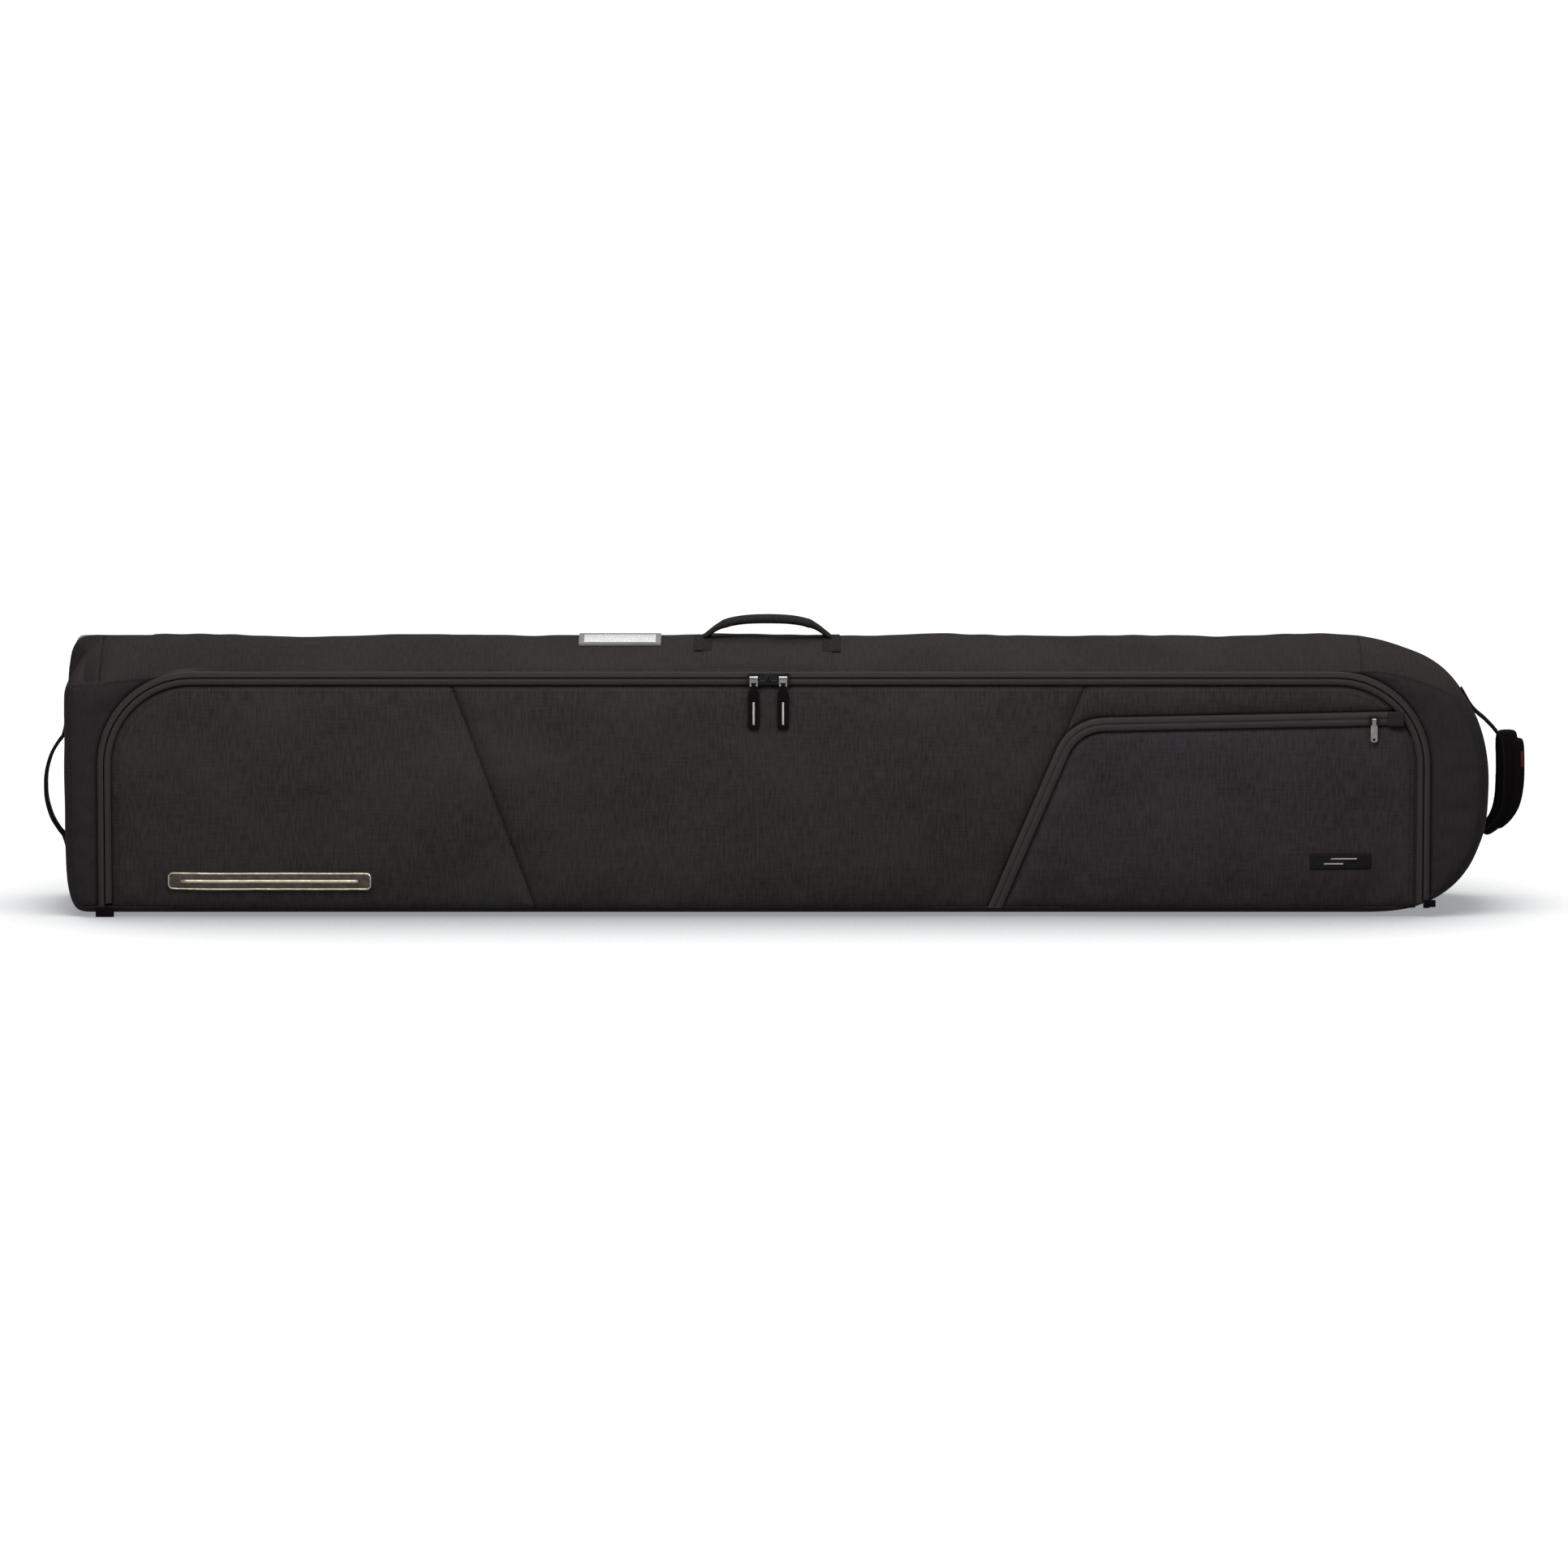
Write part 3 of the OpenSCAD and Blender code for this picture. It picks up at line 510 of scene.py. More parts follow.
def front_edge():
    """The line where the gusset meets the front, matching the outline point by point."""
    ahead = np.roll(OUTLINE, -1, axis=0) - np.roll(OUTLINE, 1, axis=0)
    normal = np.column_stack([ahead[:, 1], -ahead[:, 0]])
    normal /= np.linalg.norm(normal, axis=1)[:, None]
    edge = OUTLINE - normal * EDGE_IN
    edge[:, 1] = soft_min(edge[:, 1], seam_height(edge[:, 0]), 0.003)
    edge[:, 1] = -soft_min(-edge[:, 1], -HINGE_Z + 0.0005, 0.001)
    return edge


FRONT_EDGE = front_edge()


def zip_line(offset, step=0.006):
    """The main zip's line from its tail foot to its nose foot, moved outwards by offset."""
    r = ZIP_R + offset
    low, high, top = ZIP_TAIL_X - offset, ZIP_NOSE_X + offset, ZIP_Z + offset
    turn = np.linspace(0, math.pi / 2, 16)
    left = np.column_stack([low + r - r * np.cos(turn), top - r + r * np.sin(turn)])
    right = np.column_stack([high - r + r * np.sin(turn), top - r + r * np.cos(turn)])
    return resample(np.vstack([[(low, HINGE_Z)], left, right, [(high, HINGE_Z)]]), step)


ZIP_CENTRE = zip_line(0)

POCKET_BEND = np.array([0.392, 0.176])
POCKET_R = 0.055
POCKET_RISE = math.radians(67)
POCKET_RUN = math.radians(1.2)
POCKET_END = ZIP_NOSE_X - BAND


def pocket_line(offset, step=0.006):
    """The pocket zip's line from its foot to the main zip, moved outwards by offset."""
    r = POCKET_R + offset
    turn = np.linspace(POCKET_RISE, POCKET_RUN, 12) + math.pi / 2
    bend = POCKET_BEND + r * np.column_stack([np.cos(turn), np.sin(turn)])
    foot_x = bend[0, 0] - (bend[0, 1] - HINGE_Z) / math.tan(POCKET_RISE)
    end_z = bend[-1, 1] + (POCKET_END - bend[-1, 0]) * math.tan(POCKET_RUN)
    return resample(np.vstack([[(foot_x, HINGE_Z)], bend, [(POCKET_END, end_z)]]), step)


POCKET_CENTRE = pocket_line(0)


def lid_seam(foot_x, head_x):
    """One of the lid's slanting seams, as x at a height."""
    return lambda z: foot_x + (head_x - foot_x) * (z - HINGE_Z) / (ZIP_Z - HINGE_Z)


TAIL_SEAM = lid_seam(-0.286, -0.389)
NOSE_SEAM = lid_seam(0.260, 0.372)


# ---- The front surface ----

def front_depth(points, own_edge, groove=0.0046, puff=0.0, seed=0.0):
    """Depth of the front at each point: soft swell away from zips, tucked in at its own seams."""
    pts = np.asarray(points, float)
    from_zip = np.minimum(distance_to(pts, ZIP_CENTRE, False), distance_to(pts, POCKET_CENTRE, False))
    from_edge = distance_to(pts, own_edge)
    swell = 0.0055 * smooth_step((from_zip - 0.05) / 0.09)
    swell += puff * smooth_step(from_edge / 0.05)
    swell -= groove * np.exp(-((from_edge / 0.0046) ** 1.2))
    loose = smooth_step(from_edge / 0.035) * smooth_step((from_zip - 0.02) / 0.08)
    near = np.exp(-((from_edge - 0.012) / 0.012) ** 2)
    for k, (x, z) in enumerate(pts):
        wide = wobble(x, z * 0.6, 0.16, seed) * 0.0022 + wobble(x * 0.8, z * 1.7, 0.055, seed + 7) * 0.0009
        pucker = wobble(x, z, 0.017, seed + 13) * 0.0005
        swell[k] += wide * loose[k] + pucker * near[k]
    return FRONT_Y - swell


def grid_inside(loop, step):
    low, high = loop.min(0), loop.max(0)
    xs = np.arange(low[0] + step / 2, high[0], step)
    zs = np.arange(low[1] + step / 2, high[1], step)
    points = np.array([(x + (step / 2 if j % 2 else 0), z) for j, z in enumerate(zs) for x in xs])
    points = points[inside(points, loop)]
    return points[distance_to(points, loop) > step * 0.55]


def near_edge_ring(loop, depth):
    """Points just inside the loop, so that the tucked edge keeps its roundness."""
    ahead = np.roll(loop, -1, axis=0) - np.roll(loop, 1, axis=0)
    normal = np.column_stack([-ahead[:, 1], ahead[:, 0]])
    normal /= np.maximum(np.linalg.norm(normal, axis=1), 1e-9)[:, None]
    area = (loop[:, 0] * np.roll(loop[:, 1], -1) - np.roll(loop[:, 0], -1) * loop[:, 1]).sum()
    ring = loop + normal * depth * (1 if area > 0 else -1)
    return ring[(distance_to(ring, loop) > depth * 0.9) & inside(ring, loop)]


def fill_loop(loop, step, rings=(0.0025, 0.006)):
    """Triangles that fill a closed loop, with points on a grid inside it."""
    loop = resample(loop, step * 0.7, True)
    extra = [near_edge_ring(loop, d) for d in rings]
    grid = grid_inside(loop, step)
    grid = grid[distance_to(grid, loop) > rings[-1] + step * 0.4]
    points = np.vstack([loop, *extra, grid])
    out = delaunay_2d_cdt([Vector(p) for p in points], [], [list(range(len(loop)))], 1, 1e-6)
    return np.array([tuple(v) for v in out[0]]), [tuple(f) for f in out[2]], loop


def panel(name, loop, depth, material, y_sign=-1, hem=HEM, step=STEP):
    """A cloth panel that fills loop at the depth that a function gives, with its edges turned in."""
    flat, tris, edge = fill_loop(np.asarray(loop), step)
    verts = [(p[0], d, p[1]) for p, d in zip(flat, depth(flat, edge))]
    uvs = [(p[0], p[1]) for p in flat]
    sides = [(a, b) for tri in tris for a, b in zip(tri, tri[1:] + tri[:1])]
    uses = Counter(frozenset(side) for side in sides)
    faces = list(tris)
    hem_of = {}
    for a, b in sides:
        if uses[frozenset((a, b))] > 1:
            continue
        for k in (a, b):
            if k not in hem_of:
                hem_of[k] = len(verts)
                verts.append((verts[k][0], verts[k][1] - y_sign * hem, verts[k][2]))
                uvs.append((uvs[k][0] + hem, uvs[k][1] + hem))
        faces.append((b, a, hem_of[a], hem_of[b]))
    obj = make_object(name, verts, faces, material, uvs)
    fix_normals(obj)
    if sum(f.normal.y * f.area for f in obj.data.polygons) * y_sign < 0:
        obj.data.flip_normals()
    return obj


def seam_stretch(seam, low_z, high_z):
    zs = np.linspace(low_z, high_z, 30)
    return np.column_stack([seam(zs), zs])


# ---- Lid ----

LID_LOOP = zip_line(-BAND)
POCKET_OUT = pocket_line(BAND)
POCKET_IN = pocket_line(-BAND)


def lid_loops():
    """Closed loops of the lid's three outer panels and of the pocket panel."""
    top = ZIP_Z - BAND
    tail_cut = seam_stretch(TAIL_SEAM, HINGE_Z, top)
    tail_side = LID_LOOP[LID_LOOP[:, 0] < np.where(LID_LOOP[:, 1] > 0.2, TAIL_SEAM(top), TAIL_SEAM(HINGE_Z))]
    tail = np.vstack([tail_side, tail_cut[::-1]])
    below = POCKET_OUT[POCKET_OUT[:, 0] < NOSE_SEAM(POCKET_OUT[:, 1])]
    cross_z = below[-1, 1]
    nose_cut = seam_stretch(NOSE_SEAM, cross_z + 0.002, top)
    centre = np.vstack([tail_cut, nose_cut[::-1], below[::-1]])
    beyond = POCKET_OUT[(POCKET_OUT[:, 0] >= NOSE_SEAM(POCKET_OUT[:, 1])) & inside(POCKET_OUT, LID_LOOP)]
    upper = LID_LOOP[(LID_LOOP[:, 0] > NOSE_SEAM(top)) & (LID_LOOP[:, 1] > beyond[-1, 1] + 0.001)]
    nose = np.vstack([nose_cut[::-1][:1], nose_cut[::-1][1:], beyond, upper[::-1]])
    under = POCKET_IN[inside(POCKET_IN, LID_LOOP) | (POCKET_IN[:, 1] < HINGE_Z + 0.001)]
    right = LID_LOOP[(LID_LOOP[:, 0] > 0.6) & (LID_LOOP[:, 1] < under[-1, 1] - 0.001)]
    pocket = np.vstack([under, right])
    return tail, centre, nose, pocket


def add_lid_panels():
    tail, centre, nose, pocket = lid_loops()
    for name, loop, material, slot, node, puff, seed in (
            ("lid_tail_cloth", tail, LID, "lid_fabric", "lid_tail_panel", 0.0012, 1.0),
            ("lid_centre_cloth", centre, LID, "lid_fabric", "lid_centre_panel", 0.0012, 2.0),
            ("lid_nose_cloth", nose, LID, "lid_fabric", "lid_nose_panel", 0.0004, 3.0),
            ("pocket_cloth", pocket, POCKET, "pocket_fabric", "pocket_panel", 0.0014, 4.0)):
        def depth(flat, edge, puff=puff, seed=seed):
            return front_depth(flat, edge, puff=puff, seed=seed)
        piece = panel(name, loop, depth, material)
        settle(piece, loop, cap=0.0028)
        place_piece(piece, "lid", slot, node)


def flat_layer(name, loop, y, thick, material, wrinkle=0.0004):
    """A thin layer inside the bag, facing the inside, with a little waviness."""
    def depth(flat, edge):
        waves = np.array([wobble(x, z, 0.09, y * 100) for x, z in flat])
        return y + waves * wrinkle - 0.0012 * np.exp(-distance_to(flat, edge) / 0.004)
    return panel(name, loop, depth, material, y_sign=1, hem=thick, step=0.02)


def add_lid_inside():
    lining_low, lining_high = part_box("lid_lining")
    edge = ZIP_Z - lining_high[2]
    lining = flat_layer("lid_lining_cloth", zip_line(-edge), lining_high[1], 0.0012, LINING)
    place_piece(lining, "lid", "lining", "lid_lining")
    pad_loop = zip_line(-edge - 0.001)
    pad = flat_layer("lid_pad", pad_loop, lining_low[1] - 0.0002, 0.0045, LINING)
    place_piece(pad, "lid", "foam", "lid_foam")
    _, _, _, pocket = lid_loops()
    back_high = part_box("pocket_back_panel")[1]
    back = flat_layer("pocket_back_cloth", pocket, back_high[1] - 0.0035, 0.001, POCKET)
    place_piece(back, "lid", "pocket_fabric", "pocket_back_panel")


# ---- Zips ----

TAPE_PROFILE = [(0.0112, 0.0078), (0.0094, 0.0072), (0.0085, 0.0056), (0.0080, 0.0022), (0.0074, 0.0008),
                (0.0058, 0.0002), (0.0036, -0.0002), (0.0020, -0.0003), (0.0009, 0.0004), (0.0006, 0.0016),
                (0.0006, 0.0034)]


def ribbon(name, rows, depths, material, count):
    """A strip of cloth along matching lines, one for each row of its profile."""
    row_uv = 0.0018
    verts, uvs = [], []
    for k, (row, depth) in enumerate(zip(rows, depths)):
        line = spread(row, count)
        verts += [(x, FRONT_Y + depth, z) for x, z in line]
        uvs += [(walk, depth * 3 + k * row_uv) for walk in walked(line)]
    obj = make_object(name, verts, grid_faces(len(rows), count), material, uvs)
    fix_normals(obj)
    return obj


def add_main_zip():
    depths = [d for _, d in TAPE_PROFILE]
    for side, body, name, node in ((1, "shell", "shell_zip_cloth", "shell_zip_tape"),
                                   (-1, "lid", "lid_zip_cloth", "lid_zip_tape")):
        rows = [zip_line(side * offset) for offset, _ in TAPE_PROFILE]
        if body == "lid":
            rows = [row[row[:, 1] > HINGE_Z + FOOT_TAB_OUT + 0.001] for row in rows]
        tape = ribbon(name, rows, depths, TAPE, 420)
        place_piece(tape, body, "zip_tape", node)


def add_pocket_zip():
    depths = [d for _, d in TAPE_PROFILE]
    zip_edge = zip_line(-BAND - 0.0005)
    for side, name, nodes in ((1, "pocket_zip_upper", ("pocket_zip_tape",)), (-1, "pocket_zip_lower", ())):
        rows = [pocket_line(side * offset) for offset, _ in TAPE_PROFILE]
        rows = [row[inside(row, zip_edge) | (row[:, 1] < HINGE_Z + 0.002)] for row in rows]
        tape = ribbon(name, rows, depths, TAPE, 150)
        place_piece(tape, "lid", "zip_tape", *nodes)


# ---- Shell: border, gusset and back ----

def border_loop():
    zip_out = zip_line(BAND)
    zip_out = zip_out[inside(zip_out, FRONT_EDGE) | (zip_out[:, 0] < 0)]
    foot = (FRONT_EDGE[:, 1] < HINGE_Z + 0.004) & (FRONT_EDGE[:, 0] < zip_out[-1, 0]) & (
        FRONT_EDGE[:, 0] > zip_out[0, 0])
    low_nose = (FRONT_EDGE[:, 0] < zip_out[-1, 0] + 0.002) & (FRONT_EDGE[:, 1] < 0.05)
    keep = ~(foot | low_nose) | ((FRONT_EDGE[:, 0] < zip_out[0, 0]))
    start = next(i for i in range(len(keep)) if keep[i] and not keep[i - 1])
    ring = [FRONT_EDGE[(start + i) % len(keep)] for i in range(len(keep)) if keep[(start + i) % len(keep)]]
    return np.vstack([ring, zip_out])


def add_front_border():
    def depth(flat, edge):
        return front_depth(flat, edge, puff=0.0008, seed=9.0)
    loop = border_loop()
    piece = panel("front_border_cloth", loop, depth, SHELL, step=0.0075)
    settle(piece, loop, cap=0.0025, held=0.005)
    place_piece(piece, "shell", "shell_fabric", "front_border")


def outline_part(first, last):
    """Indices of the outline from one seam to the next, both included."""
    if last <= first:
        last += len(OUTLINE)
    return [i % len(OUTLINE) for i in range(first, last + 1)]


def seam_indices():
    """Where the gusset's four pieces meet: nose foot, nose head, tail head, tail foot."""
    x, z = OUTLINE[:, 0], OUTLINE[:, 1]
    def nearest(at_x, high):
        side = z > TOP_Z / 2 if high else z < TOP_Z / 2
        return int(np.argmin(np.abs(x - at_x) + np.where(side, 0, 9)))
    return [nearest(NOSE_SEAM_X, False), nearest(NOSE_SEAM_X, True), nearest(TAIL_SEAM_X, True),
            nearest(TAIL_SEAM_X, False)]


def calm(x, y):
    """0 where something flat lies on the top gusset, growing to 1 away from it."""
    (x0, y0, _), (x1, y1, _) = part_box("id_window_frame")
    spots = [((x0 + x1) / 2, (y0 + y1) / 2, 0.075), (-0.095, -0.02, 0.05), (0.075, -0.02, 0.05)]
    result = 1.0
    for at_x, at_y, reach in spots:
        result *= 1 - math.exp(-(((x - at_x) ** 2 + (y - at_y) ** 2) / reach ** 2) ** 2)
    return result


GUSSET_SEED = 22.0
# How far the gusset's edges stay behind the front and in front of the back
EDGE_MARGIN = 0.0022


def gusset_point(i, t, inset, seed):
    """A point of the band round the bag: outline point i, t from -1 at the front to 1 at the back."""
    o, f = OUTLINE[i], FRONT_EDGE[i]
    crown = float(smooth_step((o[1] - 0.27) / 0.05))
    power = 6 - 4 * crown
    p = o + (f - o) * abs(t) ** power
    nxt, prev = OUTLINE[(i + 1) % len(OUTLINE)], OUTLINE[i - 1]
    out = np.array([nxt[1] - prev[1], prev[0] - nxt[0]])
    out /= np.linalg.norm(out)
    off_floor = float(smooth_step((o[1] - 0.02) / 0.08))
    y = (HALF_D - EDGE_MARGIN) * t
    wave = wobble(p[0] + p[1], y, 0.15, seed) * 0.0034 + wobble(p[0] * 1.6 + p[1], y, 0.05, seed + 3) * 0.0014
    pinch = 0.0018 * math.exp(-(((1 - abs(t)) * HALF_D) / 0.004) ** 1.3)
    middle = 1 - abs(t) ** 4
    if o[1] > TOP_ONLY_Z:
        middle *= calm(p[0], y)
    tail_top = float(smooth_step((o[1] - 0.262) / 0.05) * smooth_step((-0.792 - o[0]) / 0.04))
    cut_in = 0.016 * tail_top * float(smooth_step((HOUSING_Y - y) / 0.012))
    p = p + out * (wave * middle * off_floor - pinch * off_floor - inset - cut_in)
    return (p[0], y * (1 - inset / HALF_D * abs(t)), p[1])


def in_housing(p):
    return p[0] < HOUSING_X + 0.001 and p[1] > HOUSING_Y and (
        p[2] < HOUSING_LOW_Z or p[2] > HOUSING_HIGH_Z)


def gusset_strip(name, part, material, inset=0.0, seed=0.0, across=30, hem=True):
    """One piece of the band round the bag, left open where a wheel housing is."""
    near_edges = [HOUSING_Y / (HALF_D - EDGE_MARGIN), -0.985, 0.985, -0.96, 0.96]
    ts = np.unique(np.concatenate([np.linspace(-1, 1, across + 1), near_edges]))
    verts, uvs = [], []
    for i, walk in zip(part, walked(OUTLINE[part])):
        verts += [gusset_point(i, t, inset, seed) for t in ts]
        uvs += [(walk, t * HALF_D) for t in ts]
    quads = grid_faces(len(part), len(ts))
    faces = [quad for quad in quads if not in_housing(np.mean([verts[k] for k in quad], axis=0))]
    obj = make_object(name, verts, faces, material, uvs)
    tidy_strip(obj, hem)
    return obj


def tidy_strip(obj, hem):
    """Drops unused points and turns the open edges in."""
    bm = bmesh.new()
    bm.from_mesh(obj.data)
    bmesh.ops.delete(bm, geom=[v for v in bm.verts if not v.link_faces], context="VERTS")
    bmesh.ops.recalc_face_normals(bm, faces=bm.faces)
    bm.normal_update()
    centre = Vector((0, 0, TOP_Z / 2))
    wrong = sum(1 for f in bm.faces if f.normal.dot(f.calc_center_median() - centre) < 0)
    if wrong > len(bm.faces) / 2:
        bmesh.ops.reverse_faces(bm, faces=bm.faces)
    if hem:
        open_edges = [e for e in bm.edges if e.is_boundary]
        ends = {v: v.normal.copy() for e in open_edges for v in e.verts}
        grown = bmesh.ops.extrude_edge_only(bm, edges=open_edges)
        for v in [g for g in grown["geom"] if isinstance(g, bmesh.types.BMVert)]:
            old = next((e.other_vert(v) for e in v.link_edges if e.other_vert(v) in ends), None)
            if old is not None:
                v.co = old.co - ends[old] * HEM
    bm.to_mesh(obj.data)
    bm.free()
    shade_smooth(obj.data)


def add_gusset():
    nose_foot, nose_head, tail_head, tail_foot = seam_indices()
    for name, first, last, node in (
            ("nose_end_cloth", nose_foot, nose_head, "nose_end_panel"),
            ("top_gusset_cloth", nose_head, tail_head, "top_gusset"),
            ("tail_end_cloth", tail_head, tail_foot, "tail_end_panel"),
            ("bottom_gusset_cloth", tail_foot, nose_foot, "bottom_gusset")):
        piece = gusset_strip(name, outline_part(first, last), GUSSET, seed=GUSSET_SEED)
        place_piece(piece, "shell", "gusset_fabric", node)


def back_loop():
    edge = FRONT_EDGE
    low = (edge[:, 0] < HOUSING_X) & (edge[:, 1] < HOUSING_LOW_Z)
    high = (edge[:, 0] < HOUSING_X) & (edge[:, 1] > HOUSING_HIGH_Z)
    out = []
    for i in range(len(edge)):
        if not (low[i] or high[i]):
            out.append(edge[i])
        elif high[i] and not high[i - 1]:
            out.append((HOUSING_X, edge[i - 1][1]))
            out.append((HOUSING_X, HOUSING_HIGH_Z))
        elif high[i] and not high[(i + 1) % len(edge)]:
            out.append((edge[i][0], HOUSING_HIGH_Z))
        elif low[i] and not low[i - 1]:
            out.append((edge[i][0], HOUSING_LOW_Z))
            out.append((HOUSING_X, HOUSING_LOW_Z))
        elif low[i] and not low[(i + 1) % len(edge)]:
            out.append((HOUSING_X, edge[i][1]))
    return np.array(out)


def add_back():
    def depth(flat, edge):
        from_edge = distance_to(flat, edge)
        swell = 0.0045 * smooth_step(from_edge / 0.12) - 0.003 * np.exp(-((from_edge / 0.0042) ** 1.3))
        waves = np.array([wobble(x, z * 0.7, 0.17, 31.0) * 0.0022 + wobble(x, z, 0.06, 33.0) * 0.0007
                          for x, z in flat])
        return BACK_Y + swell + waves * smooth_step(from_edge / 0.04)
    loop = back_loop()
    piece = panel("back_cloth", loop, depth, SHELL, y_sign=1, step=0.012)
    settle(piece, loop, cap=0.004, held=0.009)
    place_piece(piece, "shell", "shell_fabric", "back_panel")


def add_tub_lining():
    """Grey lining inside the tub: a band round the walls and the back wall."""
    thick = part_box("tub_lining")[0][0] - TAIL_X + 0.0012
    everything = [i % len(OUTLINE) for i in range(0, len(OUTLINE) + 1)]
    band = gusset_strip("tub_lining_band", everything[::2] + everything[-1:], LINING, inset=thick, seed=40.0,
                        across=12, hem=False)
    place_piece(band, "shell", "lining", "tub_lining", "tub_foam")
    def depth(flat, edge):
        return np.full(len(flat), BACK_Y - thick)
    loop = np.array([(0, TOP_Z / 2)]) + (back_loop() - (0, TOP_Z / 2)) * (0.992, 0.955)
    wall = panel("tub_lining_back", loop, depth, LINING, y_sign=-1, hem=0.001, step=0.02)
    place_piece(wall, "shell", "lining")


# ---- Cloth simulation for padded pieces ----

def evaluated_coords(obj):
    bpy.context.view_layer.update()
    shown = obj.evaluated_get(bpy.context.evaluated_depsgraph_get())
    mesh = shown.to_mesh()
    coords = np.array([v.co for v in mesh.vertices])
    shown.to_mesh_clear()
    return coords


def apply_modifiers(obj):
    bpy.context.view_layer.update()
    shown = obj.evaluated_get(bpy.context.evaluated_depsgraph_get())
    mesh = bpy.data.meshes.new_from_object(shown)
    materials = list(obj.data.materials)
    obj.modifiers.clear()
    obj.data = mesh
    mesh.materials.clear()
    for material in materials:
        mesh.materials.append(material)
    shade_smooth(mesh)


def swell_cloth(obj, pressure, grow, cap, pinned=None, frames=20):
    """Lets cloth physics fill a piece out; no point moves further than cap from where it was."""
    start = np.array([v.co for v in obj.data.vertices])
    modifier = obj.modifiers.new("cloth", "CLOTH")
    cloth = modifier.settings
    cloth.quality = 4
    cloth.mass = 0.25
    cloth.tension_stiffness = 12
    cloth.compression_stiffness = 12
    cloth.bending_stiffness = 0.8
    cloth.shrink_min = -grow
    cloth.effector_weights.gravity = 0
    cloth.use_pressure = True
    cloth.uniform_pressure_force = pressure
    modifier.collision_settings.use_self_collision = False
    modifier.collision_settings.use_collision = False
    if pinned is not None:
        group = obj.vertex_groups.new(name="pinned")
        group.add([int(k) for k in pinned], 1.0, "REPLACE")
        cloth.vertex_group_mass = "pinned"
    modifier.point_cache.frame_start = 1
    modifier.point_cache.frame_end = frames
    for step in range(1, frames + 1):
        bpy.context.scene.frame_set(step)
    moved = evaluated_coords(obj) - start
    length = np.linalg.norm(moved, axis=1)
    moved *= (cap * np.tanh(length / cap) / np.maximum(length, 1e-9))[:, None]
    obj.modifiers.clear()
    obj.vertex_groups.clear()
    obj.data.vertices.foreach_set("co", (start + moved).ravel())
    obj.data.update()
    bpy.context.scene.frame_set(1)


def settle(obj, loop, cap, held=0.007, pressure=1.2, grow=0.008):
    """Cloth physics for a padded panel that is sewn down along its loop."""
    flat = np.array([(v.co.x, v.co.z) for v in obj.data.vertices])
    pinned = np.nonzero(distance_to(flat, np.asarray(loop)) < held)[0]
    swell_cloth(obj, pressure, grow, cap, pinned)


def stuff(obj, voxel, pressure, cap, grow=0.02):
    """Remeshes a closed padded piece, fills it out with cloth physics and smooths it once."""
    remesh = obj.modifiers.new("remesh", "REMESH")
    remesh.mode = "VOXEL"
    remesh.voxel_size = voxel
    apply_modifiers(obj)
    swell_cloth(obj, pressure, grow, cap)
    smooth = obj.modifiers.new("subdivide", "SUBSURF")
    smooth.levels = smooth.render_levels = 1
    apply_modifiers(obj)


# ---- Webbing, sleeves and wraps: sections swept along a path ----

def smooth_path(points, step):
    """A smooth curve through the given points, with its points about step apart."""
    pts = np.asarray(points, float)
    ends = np.vstack([2 * pts[0] - pts[1], pts, 2 * pts[-1] - pts[-2]])
    curve = []
    for a, b, c, d in zip(ends, ends[1:], ends[2:], ends[3:]):
        for t in np.linspace(0, 1, 12, endpoint=False):
            curve.append(0.5 * (2 * b + (c - a) * t + (2 * a - 5 * b + 4 * c - d) * t ** 2
                                + (3 * b - a - 3 * c + d) * t ** 3))
    curve.append(pts[-1])
    return resample(np.array(curve), step)


def varying(value, at):
    """A number, or pairs of (place from 0 to 1, value), as one value for each place in at."""
    if np.isscalar(value):
        return np.full(len(at), float(value))
    places, values = zip(*value)
    return np.interp(at, places, values)


def sweep(name, path, half_t, half_w, material, across=(0, 1, 0), power=2.6, ring=20):
    """A closed piece whose section is half_w along across and half_t at right angles to it."""
    path = np.asarray(path, float)
    along = np.gradient(path, axis=0)
    along /= np.linalg.norm(along, axis=1)[:, None]
    across = np.array(across, float)
    normal = np.cross(along, across)
    at = np.linspace(0, 1, len(path))
    thick, width = varying(half_t, at), varying(half_w, at)
    walk = walked(path)
    verts, uvs = [], []
    for k, p in enumerate(path):
        for angle in np.arange(ring) * 2 * math.pi / ring:
            c, s = math.cos(angle), math.sin(angle)
            side = math.copysign(abs(c) ** (2 / power), c) * width[k]
            up = math.copysign(abs(s) ** (2 / power), s) * thick[k]
            verts.append(p + across * side + normal[k] * up)
            uvs.append((walk[k], side))
    faces = grid_faces(len(path), ring, True)
    for k, centre in ((0, path[0]), (len(path) - 1, path[-1])):
        verts.append(centre)
        uvs.append((walk[k], 0))
        for j in range(ring):
            faces.append((k * ring + j, k * ring + (j + 1) % ring, len(verts) - 1))
    obj = make_object(name, verts, faces, material, uvs)
    fix_normals(obj)
    return obj


# ---- Handles ----

def outline_x(z, nose):
    """X of the bag's outline at a height, at its nose or tail end."""
    side = OUTLINE[(OUTLINE[:, 0] > 0) == nose]
    side = side[side[:, 1].argsort()]
    return float(np.interp(z, side[:, 1], side[:, 0]))


def crown_z(x, y):
    """Height of the top gusset's cloth at a place."""
    top = [i for i in range(len(OUTLINE)) if OUTLINE[i, 1] > TOP_ONLY_Z]
    i = min(top, key=lambda k: abs(OUTLINE[k, 0] - x))
    return gusset_point(i, y / (HALF_D - EDGE_MARGIN), 0.0, GUSSET_SEED)[2]


def upright(points, step=0.0025, y=0.0):
    """A smooth path in an upright plane, from points given as x and z."""
    return smooth_path([(x, y, z) for x, z in points], step)


def raised(points, z):
    """Points given as x and height over z."""
    return [(x, z + up) for x, up in points]


